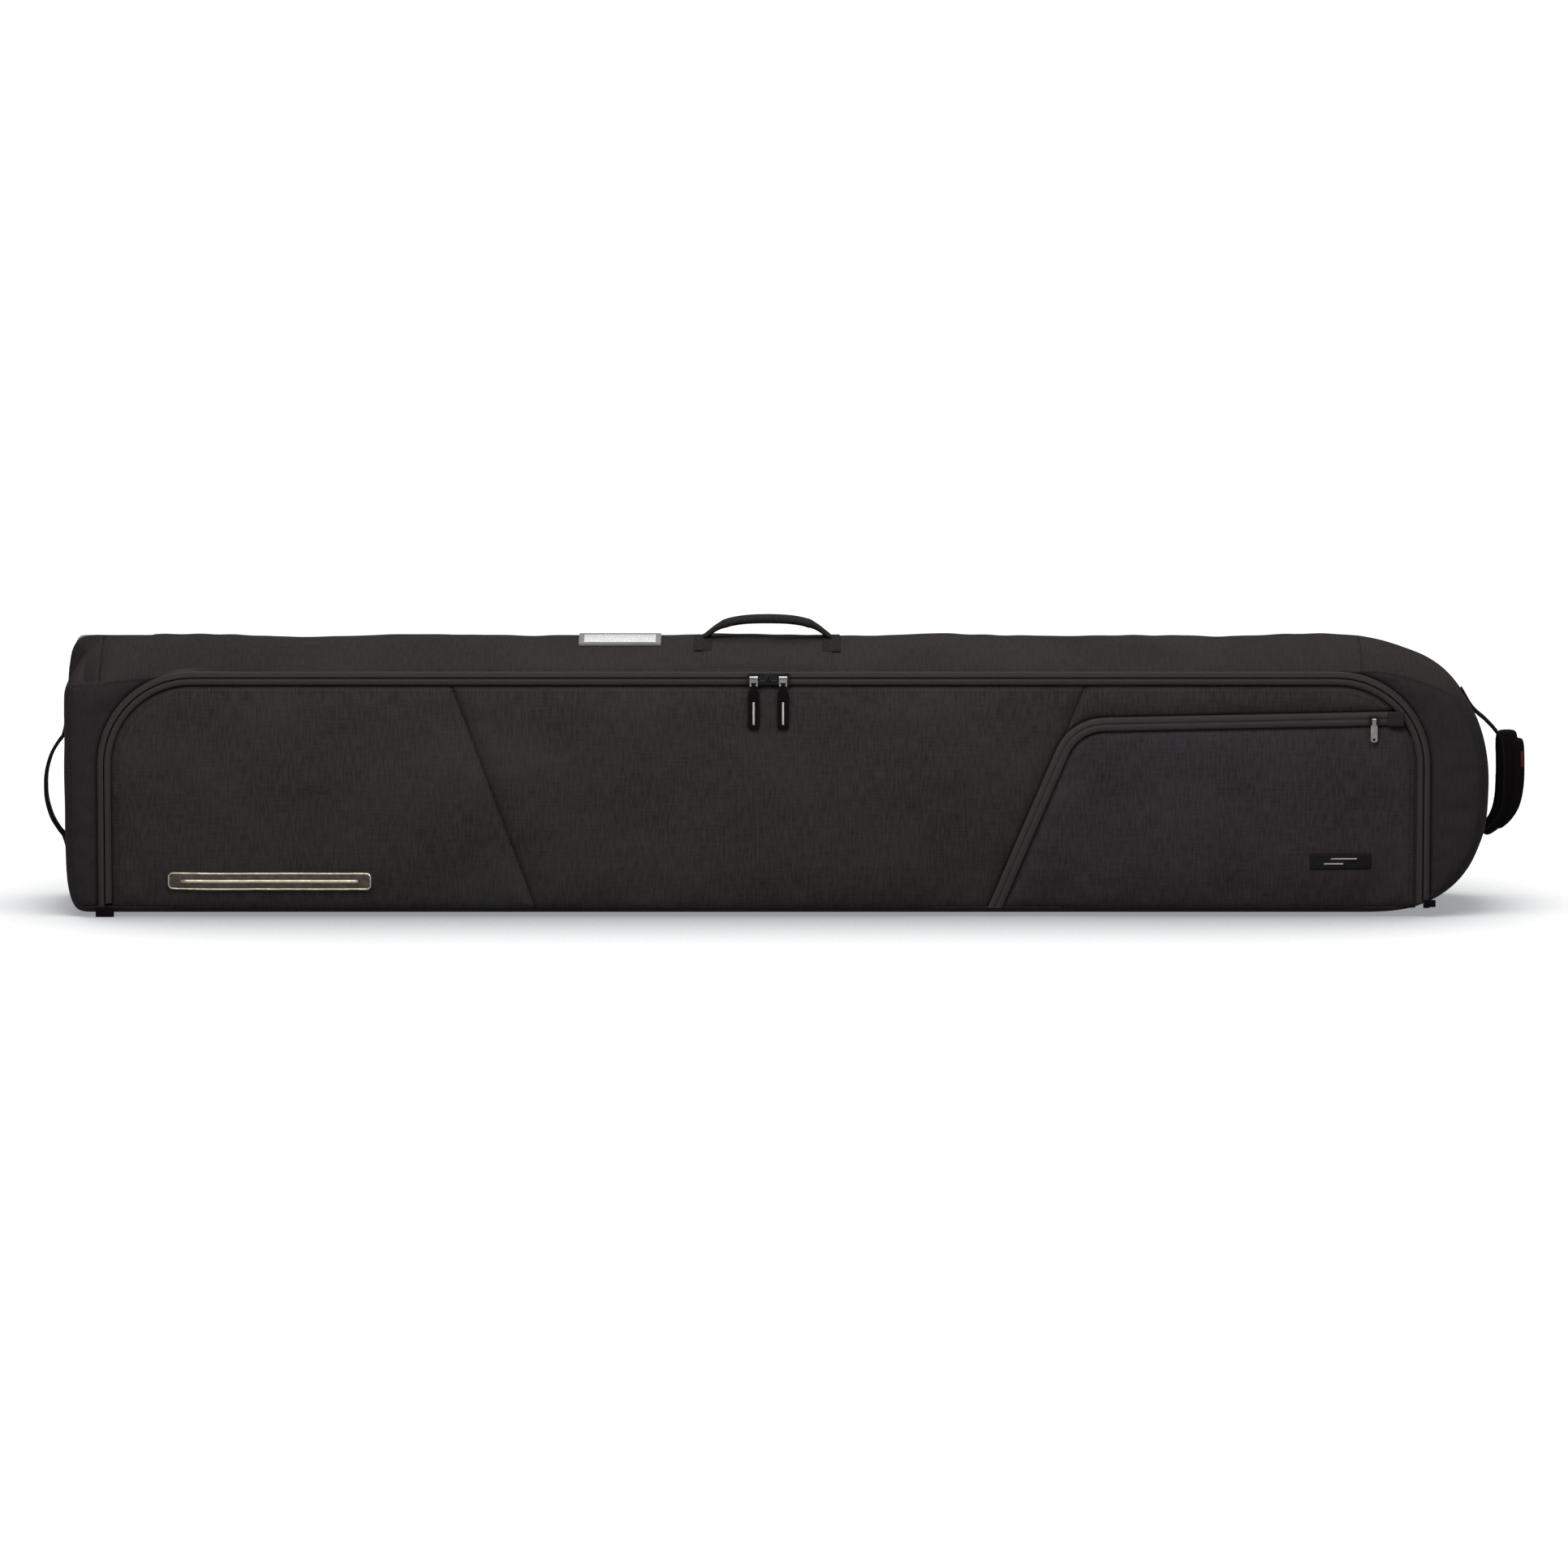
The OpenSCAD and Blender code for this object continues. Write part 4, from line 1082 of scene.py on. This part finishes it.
TOP_X = middle("top_handle_webbing", 0)
TOP_Y = middle("top_handle_webbing", 1)
TAIL_HANDLE_Z = middle("tail_handle_webbing", 2)
NOSE_HANDLE_Z = middle("nose_handle_webbing", 2)


def mirrored(half):
    """Points given from the middle outwards, as one line from end to end."""
    return [(-a, b) for a, b in half[:0:-1]] + list(half)


def both_ends(half):
    """Pairs of (place up to the middle, value), and the same again to the other end."""
    return half + [(1 - place, value) for place, value in half[-2::-1]]


def bend(obj, body, start, end, slot, *nodes):
    """Hides a handle's CAD parts and bakes the piece's placement into its mesh."""
    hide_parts(*nodes)
    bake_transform(obj)


# The top handle's sewn feet: how far each is from the middle, and where its front end lies
HANDLE_FOOT = 0.0765
FOOT_FRONT_Y = -0.062
# Half the thickness of strong webbing, and how far its middle lies off the cloth
WEB_T = 0.0021
WEB_OFF = 0.0012


def add_top_handle():
    """One padded fabric arch, sewn down at both ends, with a stitched foot forward of each end."""
    foot_z = crown_z(TOP_X + 0.09, TOP_Y) + 0.0022
    half = [(0, 0.3483), (0.025, 0.3474), (0.045, 0.3440), (0.059, 0.3378), (0.069, 0.3305),
            (0.0755, foot_z)]
    line = upright([(TOP_X + x, z) for x, z in mirrored(half)], y=TOP_Y)
    thick = both_ends([(0, 0.0022), (0.05, 0.0028), (0.16, 0.0036), (0.19, 0.0046), (0.22, 0.0041),
                       (0.5, 0.0044)])
    wide = both_ends([(0, 0.0120), (0.10, 0.0110), (0.18, 0.0160), (0.5, 0.0160)])
    arch = sweep("top_handle_arch", line, thick, wide, SLEEVE, power=3.4, ring=24)
    stuff(arch, 0.0024, 2.0, 0.0008)
    bend(arch, "top_handle", (TOP_X, TOP_Y, foot_z + 0.001), (TOP_X, TOP_Y, foot_z + 0.0085), "grip_fabric",
         "top_handle_webbing", "top_handle_grip", "handle_anchors")
    for k, side in enumerate((-1, 1)):
        x = TOP_X + side * HANDLE_FOOT
        line = [(x, y, crown_z(x, y) + 0.0013) for y in np.linspace(TOP_Y + 0.016, FOOT_FRONT_Y, 6)]
        foot = sweep(f"top_handle_foot_{k}", smooth_path(line, 0.003), 0.0011, 0.0105, SLEEVE,
                     across=(1, 0, 0), power=6)
        place_piece(foot, "shell", "webbing")


def add_tail_handle():
    """A bow of webbing, given as heights over its middle and how far each stands off the bag."""
    z = TAIL_HANDLE_Z
    off = TAIL_X - 0.0016
    bow = [(0.060, 0.0032), (0.053, 0.0085), (0.038, 0.0172), (0.018, 0.0230), (0, 0.0243)]
    points = [(off - out, z + up) for up, out in bow] + [(off - out, z - up) for up, out in bow[-2::-1]]
    sewn = [[(outline_x(z + up, False) - WEB_OFF, z + up) for up in ups]
            for ups in ((0.088, 0.074), (-0.074, -0.088))]
    wide = both_ends([(0, 0.0125), (0.14, 0.0125), (0.20, 0.0100), (0.30, 0.0125), (0.5, 0.0125)])
    strap = sweep("tail_handle_strap", upright(sewn[0] + points + sewn[1]), WEB_T, wide, WEB, power=7)
    bend(strap, "tail_handle", (off - 0.0012, 0, z), (off - 0.0075, 0, z), "webbing", "tail_handle_webbing")


def add_nose_handle():
    """A webbing loop with a padded wrap, a folded flap over the wrap and a plain tag."""
    z = NOSE_HANDLE_Z
    loop = raised([(0.8520, 0.067), (0.8660, 0.051), (0.8720, 0.035), (0.8735, 0), (0.8725, -0.030),
                   (0.8670, -0.047), (0.8560, -0.061)], z)
    head = [(outline_x(z + up, True) + off, z + up) for up, off in ((0.105, WEB_OFF), (0.082, 0.0014))]
    foot = [(outline_x(z - 0.075, True) + 0.0014, z - 0.073),
            (outline_x(z - 0.098, True) + WEB_OFF, z - 0.098)]
    strap = sweep("nose_handle_strap", upright(head + loop + foot), WEB_T, 0.0115, WEB, power=7)
    fold = ("nose_handle", (0.8465, 0, z), (0.8590, 0, z))
    bend(strap, *fold, "webbing", "nose_handle_webbing")

    wrap_line = raised([(0.8770, 0.054), (0.8775, 0.030), (0.8777, 0), (0.8760, -0.026), (0.8700, -0.045),
                        (0.8610, -0.058), (0.8490, -0.068)], z)
    thick = [(0, 0.0108), (0.06, 0.0134), (0.50, 0.0138), (0.68, 0.0130), (0.84, 0.0105), (1, 0.0075)]
    wide = [(0, 0.0080), (0.08, 0.0100), (0.8, 0.0100), (1, 0.0085)]
    wrap = sweep("nose_handle_wrap", upright(wrap_line, 0.003), thick, wide, GRIP, power=3.0, ring=28)
    stuff(wrap, 0.0040, 4.0, 0.0022)
    bend(wrap, *fold, "grip_fabric", "nose_handle_grip")

    flap_line = raised([(0.8890, 0.044), (0.8900, 0.020), (0.8897, -0.010), (0.8855, -0.033),
                        (0.8775, -0.050), (0.8660, -0.062)], z)
    thick = [(0, 0.0070), (0.06, 0.0088), (0.7, 0.0086), (1, 0.0050)]
    wide = [(0, 0.0100), (0.06, 0.0124), (0.8, 0.0122), (1, 0.0092)]
    flap = sweep("nose_handle_flap", upright(flap_line, 0.003), thick, wide, GRIP, power=3.4, ring=24)
    stuff(flap, 0.0035, 2.0, 0.0010)
    place_piece(flap, "nose_handle", "grip_fabric")

    tag_line = [(0.8950, -0.0122, z + 0.030), (0.8953, -0.0126, z + 0.020), (0.8953, -0.0122, z + 0.011)]
    tag = sweep("nose_handle_label", smooth_path(tag_line, 0.002), 0.0006, 0.0017, RED, across=(1, 0, 0),
                power=6)
    place_piece(tag, "nose_handle", "tag_red", "nose_handle_tag")


# ---- Pullers, slider covers, badge, label and other small soft pieces ----


def rounded_block(name, low, high, bevel, material, taper=1.0):
    """A block with rounded edges whose -Y face is scaled by taper."""
    bm = bmesh.new()
    bmesh.ops.create_cube(bm, size=1.0)
    low, high = np.array(low), np.array(high)
    for v in bm.verts:
        v.co = Vector((low + high) / 2 + np.array(v.co) * (high - low) * (
            (taper, 1, taper) if v.co.y < 0 else (1, 1, 1)))
    bmesh.ops.bevel(bm, geom=list(bm.edges), offset=bevel, segments=3, profile=0.6, affect="EDGES")
    mesh = bpy.data.meshes.new(name)
    bm.to_mesh(mesh)
    bm.free()
    mesh.materials.append(material)
    shade_smooth(mesh)
    return link_object(name, mesh)


def add_main_pulls():
    """On each main slider: a raised crown on its plate, and a moulded fabric puller with a pale strip."""
    crown_half, crown_low, crown_high = 0.0115, 0.0052, 0.0008
    plate_y = FRONT_Y - 0.0026
    thick = [(0, 0.0017), (0.1, 0.0015), (0.2, 0.0016), (0.9, 0.0015), (1, 0.0010)]
    wide = [(0, 0.0026), (0.1, 0.0028), (0.17, 0.0058), (0.24, 0.0070), (0.93, 0.0070), (0.98, 0.0060),
            (1, 0.0046)]
    strip_half = 0.0012
    for end in ("tail", "nose"):
        x = middle("main_slider_" + end, 0)
        crown = rounded_block(f"slider_crown_{end}", (x - crown_half, plate_y - 0.0016, ZIP_Z - crown_low),
                              (x + crown_half, plate_y + 0.0004, ZIP_Z - crown_high), 0.0007, DARK_METAL, 0.8)
        place_piece(crown, "slider_" + end, "slider_metal")
        node = "main_puller_" + end
        x, y = middle(node, 0), middle(node, 1) - 0.0004
        foot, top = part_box(node)[0][2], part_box(node)[1][2] - 0.0022
        line = [(x, y, top + 0.0018), (x, y, top - 0.004), (x, y - 0.0002, top - 0.012), (x, y, top - 0.028),
                (x, y, foot + 0.0002)]
        puller = sweep(f"puller_cloth_{end}", smooth_path(line, 0.0015), thick, wide, GRIP, across=(1, 0, 0),
                       power=4.5)
        place_piece(puller, "puller_" + end, "webbing", node)
        strip = rounded_block(f"puller_strip_{end}", (x - strip_half, y - 0.0022, foot + 0.0060),
                              (x + strip_half, y - 0.0011, foot + 0.0330), 0.0004, PALE)
        place_piece(strip, "puller_" + end, "webbing")


def rounded_loop(low, high, r, steps=5):
    turn = np.linspace(0, math.pi / 2, steps)
    arc = np.column_stack([np.cos(turn), np.sin(turn)]) * r
    (x0, z0), (x1, z1) = low, high
    return np.vstack([arc + (x1 - r, z1 - r), arc[::-1] * (-1, 1) + (x0 + r, z1 - r),
                      arc * (-1, -1) + (x0 + r, z0 + r), arc[::-1] * (1, -1) + (x1 - r, z0 + r)])


def front_of(name):
    """A function that gives the depth of a piece's front at x and z."""
    tree = BVHTree.FromObject(bpy.data.objects[name], bpy.context.evaluated_depsgraph_get())

    def depth(x, z):
        hit = tree.ray_cast(Vector((x, -0.5, z)), Vector((0, 1, 0)))[0]
        return hit.y if hit else FRONT_Y
    return depth


def add_lid_plate(name, node, under, thick, corner_r, material, slot):
    """A flat piece that follows the lid's cloth under it, with a rounded rim."""
    low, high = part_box(node)
    cloth = front_of(under)

    def depth(flat, edge):
        rim = np.exp(-(distance_to(flat, edge) / (0.6 * thick)) ** 1.5)
        return np.array([cloth(x, z) for x, z in flat]) - thick + 0.5 * thick * rim
    loop = rounded_loop((low[0], low[2]), (high[0], high[2]), corner_r)
    piece = panel(name, loop, depth, material, hem=thick, step=0.005)
    place_piece(piece, "lid", slot, node)


def add_badge_rim():
    """Raised bright rim and bar on the badge, with no lettering."""
    rim_inset, rim_corner, rim_r = 0.0016, 0.0040, 0.0011
    bar_inset, bar_r = 0.016, 0.0022
    sunk = 0.0002
    low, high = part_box("badge")
    plate = front_of("badge_plate")
    loop = rounded_loop((low[0] + rim_inset, low[2] + rim_inset), (high[0] - rim_inset, high[2] - rim_inset),
                        rim_corner)
    loop = resample(loop, 0.004, True)
    bar = [(x, middle("badge", 2)) for x in np.linspace(low[0] + bar_inset, high[0] - bar_inset, 30)]
    for name, flat, r in (("badge_rim", np.vstack([loop, loop[:2]]), rim_r), ("badge_bar", bar, bar_r)):
        bead = tube(name, [(x, plate(x, z) - sunk, z) for x, z in flat], r, BADGE)
        place_piece(bead, "lid", "badge_metal")


def tube(name, line, r, material):
    """A round bead along a line that lies in front of the lid."""
    sides = 8
    line = np.asarray(line, float)
    along = np.gradient(line, axis=0)
    along /= np.linalg.norm(along, axis=1)[:, None]
    out = np.array((0.0, -1.0, 0.0))
    verts = [p + r * (math.cos(a) * 0.6 * out + math.sin(a) * w)
             for p, w in zip(line, np.cross(along, out)) for a in np.arange(sides) * 2 * math.pi / sides]
    caps = [tuple(range(sides)), tuple(range(len(verts) - sides, len(verts)))]
    obj = make_object(name, verts, grid_faces(len(line), sides, True) + caps, material)
    fix_normals(obj)
    return obj


def add_lid_plates():
    add_lid_plate("badge_plate", "badge", "lid_tail_cloth", 0.0022, 0.005, BADGE_FIELD, "badge_metal")
    add_badge_rim()
    add_lid_plate("woven_label", "size_label", "pocket_cloth", 0.0009, 0.002, LABEL, "label_weave")
    low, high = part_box("size_label")
    margin, half_line = 0.005, 0.0007
    for k, (share, length) in enumerate(((0.66, 0.8), (0.36, 0.55))):
        z = low[2] + (high[2] - low[2]) * share
        x0 = low[0] + margin
        x1 = x0 + (high[0] - low[0] - 2 * margin) * length
        strip = rounded_block(f"label_line_{k}", (x0, low[1] - 0.0062, z - half_line),
                              (x1, low[1] - 0.0042, z + half_line), 0.0003, PALE)
        lay_on(strip, "woven_label", 0.0003)
        place_piece(strip, "lid", "label_weave")
    low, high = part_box("pocket_zip_garage")
    garage = rounded_block("zip_garage", low, (high[0], high[1] + 0.001, high[2]), 0.0018, SHELL, 0.92)
    place_piece(garage, "lid", "webbing", "pocket_zip_garage")


def lay_on(obj, under, proud):
    """Moves a small piece in Y so that its front stands proud of the cloth at its middle."""
    coords = np.array([v.co for v in obj.data.vertices])
    x, _, z = (coords.min(0) + coords.max(0)) / 2
    obj.data.transform(Matrix.Translation((0, front_of(under)(x, z) - proud - coords[:, 1].min(), 0)))


def flat_strap(name, node, x, half_w, material, step, lift=0.0, sag=0.0003):
    """A strip of webbing that stands upright in a node's box, at x."""
    low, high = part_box(node)
    y = middle(node, 1)
    line = [(x, y, low[2]), (x, y - sag, middle(node, 2)), (x, y, high[2] + lift)]
    return sweep(name, smooth_path(line, step), (high[1] - low[1]) / 2, half_w, material, across=(1, 0, 0),
                 power=6)


def add_foot_tabs():
    """Folded webbing tabs at the two feet of the main zip."""
    for end in ("tail", "nose"):
        node = "zip_foot_tab_" + end
        low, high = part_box(node)
        half_w = (high[0] - low[0]) / 2
        tab = flat_strap("foot_tab_" + end, node, middle(node, 0), half_w, GRIP, 0.0012, lift=0.002)
        place_piece(tab, "shell", "webbing", node)


def add_handle_patch():
    """The strengthening patch under the top handle, over the crown from front to back."""
    lift_most, tuck, rim_width, edge_t = 0.0012, 0.0016, 0.006, 0.985
    low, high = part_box("handle_patch")
    top = [i for i, (x, z) in enumerate(OUTLINE) if z > TOP_ONLY_Z and low[0] <= x <= high[0]]
    top.sort(key=lambda i: OUTLINE[i, 0])
    ts = np.linspace(-edge_t, edge_t, 41)
    verts, uvs = [], []
    for c, i in enumerate(top):
        end = min(c, len(top) - 1 - c)
        for t in ts:
            rim = min(end * OUTLINE_STEP, (edge_t - abs(t)) * HALF_D)
            lift = lift_most * float(smooth_step(rim / rim_width + 0.35)) - tuck * (rim <= 0)
            verts.append(gusset_point(i, t, -lift, GUSSET_SEED))
            uvs.append((OUTLINE[i, 0], t * HALF_D))
    obj = make_object("handle_patch_cloth", verts, grid_faces(len(top), len(ts)), PATCH, uvs)
    fix_normals(obj)
    place_piece(obj, "shell", "gusset_fabric", "handle_patch")


# ---- Stitching ----

FORWARD = (0, 1, 0)
DOWN = (0, 0, -1)


def add_stitches(name, path, under, toward, body, pitch=0.0042, length=0.0030, r=0.00035):
    """A row of stitches along a path, laid on a piece seen from the direction toward."""
    tree = BVHTree.FromObject(bpy.data.objects[under], bpy.context.evaluated_depsgraph_get())
    toward = Vector(toward)
    line = resample(path, pitch)
    verts, faces = [], []
    for a, b in zip(line[:-1], line[1:]):
        step = Vector(b) - Vector(a)
        if step.length < 1e-6:
            continue
        hits = [tree.ray_cast(p - toward * 0.06, toward)[0]
                for p in (Vector(a), Vector(a) + step * (length / pitch))]
        if None in hits:
            continue
        start, end = (hit - toward * r * 0.5 for hit in hits)
        if (end - start).length > 2.5 * length:
            continue
        side = (end - start).normalized().cross(toward).normalized() * r
        middle_point = (start + end) / 2
        n = len(verts)
        verts += [start, end, middle_point + side, middle_point - side, middle_point - toward * r * 1.3,
                  middle_point + toward * r]
        faces += [(n, n + 2, n + 4), (n, n + 4, n + 3), (n, n + 3, n + 5), (n, n + 5, n + 2),
                  (n + 1, n + 4, n + 2), (n + 1, n + 3, n + 4), (n + 1, n + 5, n + 3), (n + 1, n + 2, n + 5)]
    if verts:
        place_piece(make_object(name, verts, faces, THREAD, smooth=False), body, "webbing")


def stitch_front(name, line, under, body, **size):
    """Stitches on the front along a line given as x and z."""
    add_stitches(name, [(x, FRONT_Y, z) for x, z in line], under, FORWARD, body, **size)


def add_front_stitching():
    near, far = 0.0030, 0.0085
    for k, offset in enumerate((near, far)):
        for under in ("lid_tail_cloth", "lid_centre_cloth", "lid_nose_cloth", "pocket_cloth"):
            stitch_front(f"stitch_{under}_{k}", zip_line(-BAND - offset), under, "lid")
    stitch_front("stitch_border_zip", zip_line(BAND + near), "front_border_cloth", "shell")
    for seam, under, low_z in ((TAIL_SEAM, "lid_centre_cloth", HINGE_Z), (NOSE_SEAM, "lid_nose_cloth", 0.24)):
        line = [(seam(z) + 0.0035, z) for z in np.linspace(low_z, ZIP_Z - BAND, 40)]
        stitch_front("stitch_seam_" + under, line, under, "lid")
    for name, offset, under in (("low", -BAND - near, "pocket"), ("centre", BAND + near, "lid_centre"),
                                ("nose", BAND + near, "lid_nose")):
        stitch_front("stitch_pocket_" + name, pocket_line(offset), under + "_cloth", "lid")
    for side, under, body in ((1, "shell_zip_cloth", "shell"), (-1, "lid_zip_cloth", "lid")):
        stitch_front("stitch_" + under, zip_line(side * 0.0062), under, body, pitch=0.0034, length=0.0024)


def add_edge_stitching():
    """Along the seam between the front border and the gusset, over the top and down both ends; a real stitch
    row whose dark thread also stands in for the shade in the seam's groove.
    """
    centre = np.array([0.0, TOP_Z / 2])
    inner = FRONT_EDGE - (FRONT_EDGE - centre) / np.linalg.norm(FRONT_EDGE - centre, axis=1)[:, None] * 0.004
    inner[:, 1] = np.minimum(inner[:, 1], FRONT_EDGE[:, 1] - 0.0035)
    over_feet = [tuple(p) for p in inner if p[1] > 0.06]
    stitch_front("stitch_border_edge", over_feet, "front_border_cloth", "shell")


def add_top_stitching():
    """Two rows down each side of the patch, and a crossed box on each foot of the top handle."""
    low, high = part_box("handle_patch")
    for k, x in enumerate((low[0] + 0.004, low[0] + 0.009, high[0] - 0.004, high[0] - 0.009)):
        line = [(x, y, TOP_Z) for y in np.linspace(-0.088, 0.088, 30)]
        add_stitches(f"stitch_patch_{k}", line, "handle_patch_cloth", DOWN, "shell")
    for k, side in enumerate((-1, 1)):
        x = TOP_X + side * HANDLE_FOOT
        x0, x1 = x - 0.0080, x + 0.0080
        y0, y1 = FOOT_FRONT_Y + 0.003, FOOT_FRONT_Y + 0.024
        box_x = [(x0, y0), (x1, y0), (x1, y1), (x0, y1), (x0, y0), (x1, y1), (x1, y0), (x0, y1)]
        for j, ends in enumerate(zip(box_x, box_x[1:])):
            line = [(*p, TOP_Z) for p in ends]
            add_stitches(f"stitch_foot_{k}_{j}", line, f"top_handle_foot_{k}", DOWN, "shell")


# ---- Hardware that comes from the CAD model ----

# Material, how far edges are rounded, and the parts that have them
HARDWARE = [
    (COIL, 0, ("shell_zip_coil", "lid_zip_coil", "pocket_zip_coil")),
    (HOUSING, 0.0025, ("wheel_housing_lower", "wheel_housing_upper")),
    (HOUSING, 0.0006, ("id_window_frame",)),
    (CLEAR, 0, ("id_window",)),
    (CARD, 0, ("id_card",)),
    (STEEL, 0.0004, ("wheel_axles",)),
    (STEEL, 0.0005, ("housing_screws",)),
    (STEEL, 0, ("wheel_bearings_lower", "wheel_bearings_upper")),
    (HUB, 0.0006, ("wheel_hub_lower", "wheel_hub_upper")),
    (TYRE, 0.0015, ("wheel_tyre_lower", "wheel_tyre_upper")),
    (BLACK, 0.0008, ("buckle_sockets", "buckle_plug_tail", "buckle_plug_nose")),
    (DARK_METAL, 0.0004, ("main_slider_tail", "main_slider_nose", "pocket_slider")),
    (GUN_METAL, 0.0003, ("main_tab_tail", "main_tab_nose", "pocket_pull")),
]


def dress_cad_nodes():
    for material, rounding, names in HARDWARE:
        for obj in (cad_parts[name] for name in names):
            for slot in obj.material_slots:
                slot.material = material
            if rounding:
                bevel = obj.modifiers.new("edges", "BEVEL")
                bevel.width = rounding
                bevel.segments = 2
                bevel.limit_method = "ANGLE"
                bevel.angle_limit = math.radians(35)
                bevel.harden_normals = False


def add_inner_straps():
    """Webbing of the two straps across the back wall inside."""
    for node in ("strap_lower_webbing", "strap_upper_webbing"):
        for k, plug in enumerate(("buckle_plug_tail", "buckle_plug_nose")):
            strap = flat_strap(f"{node}_{k}", node, middle(plug, 0), 0.019, WEB, 0.004, sag=0.0004)
            place_piece(strap, "shell", "webbing", *((node,) if k == 0 else ()))


add_lid_panels()
add_lid_inside()
add_main_zip()
add_pocket_zip()
add_front_border()
add_gusset()
add_back()
add_tub_lining()
dress_cad_nodes()
add_inner_straps()
add_handle_patch()
add_top_handle()
add_tail_handle()
add_nose_handle()
add_main_pulls()
add_lid_plates()
add_foot_tabs()
add_front_stitching()
add_edge_stitching()
add_top_stitching()
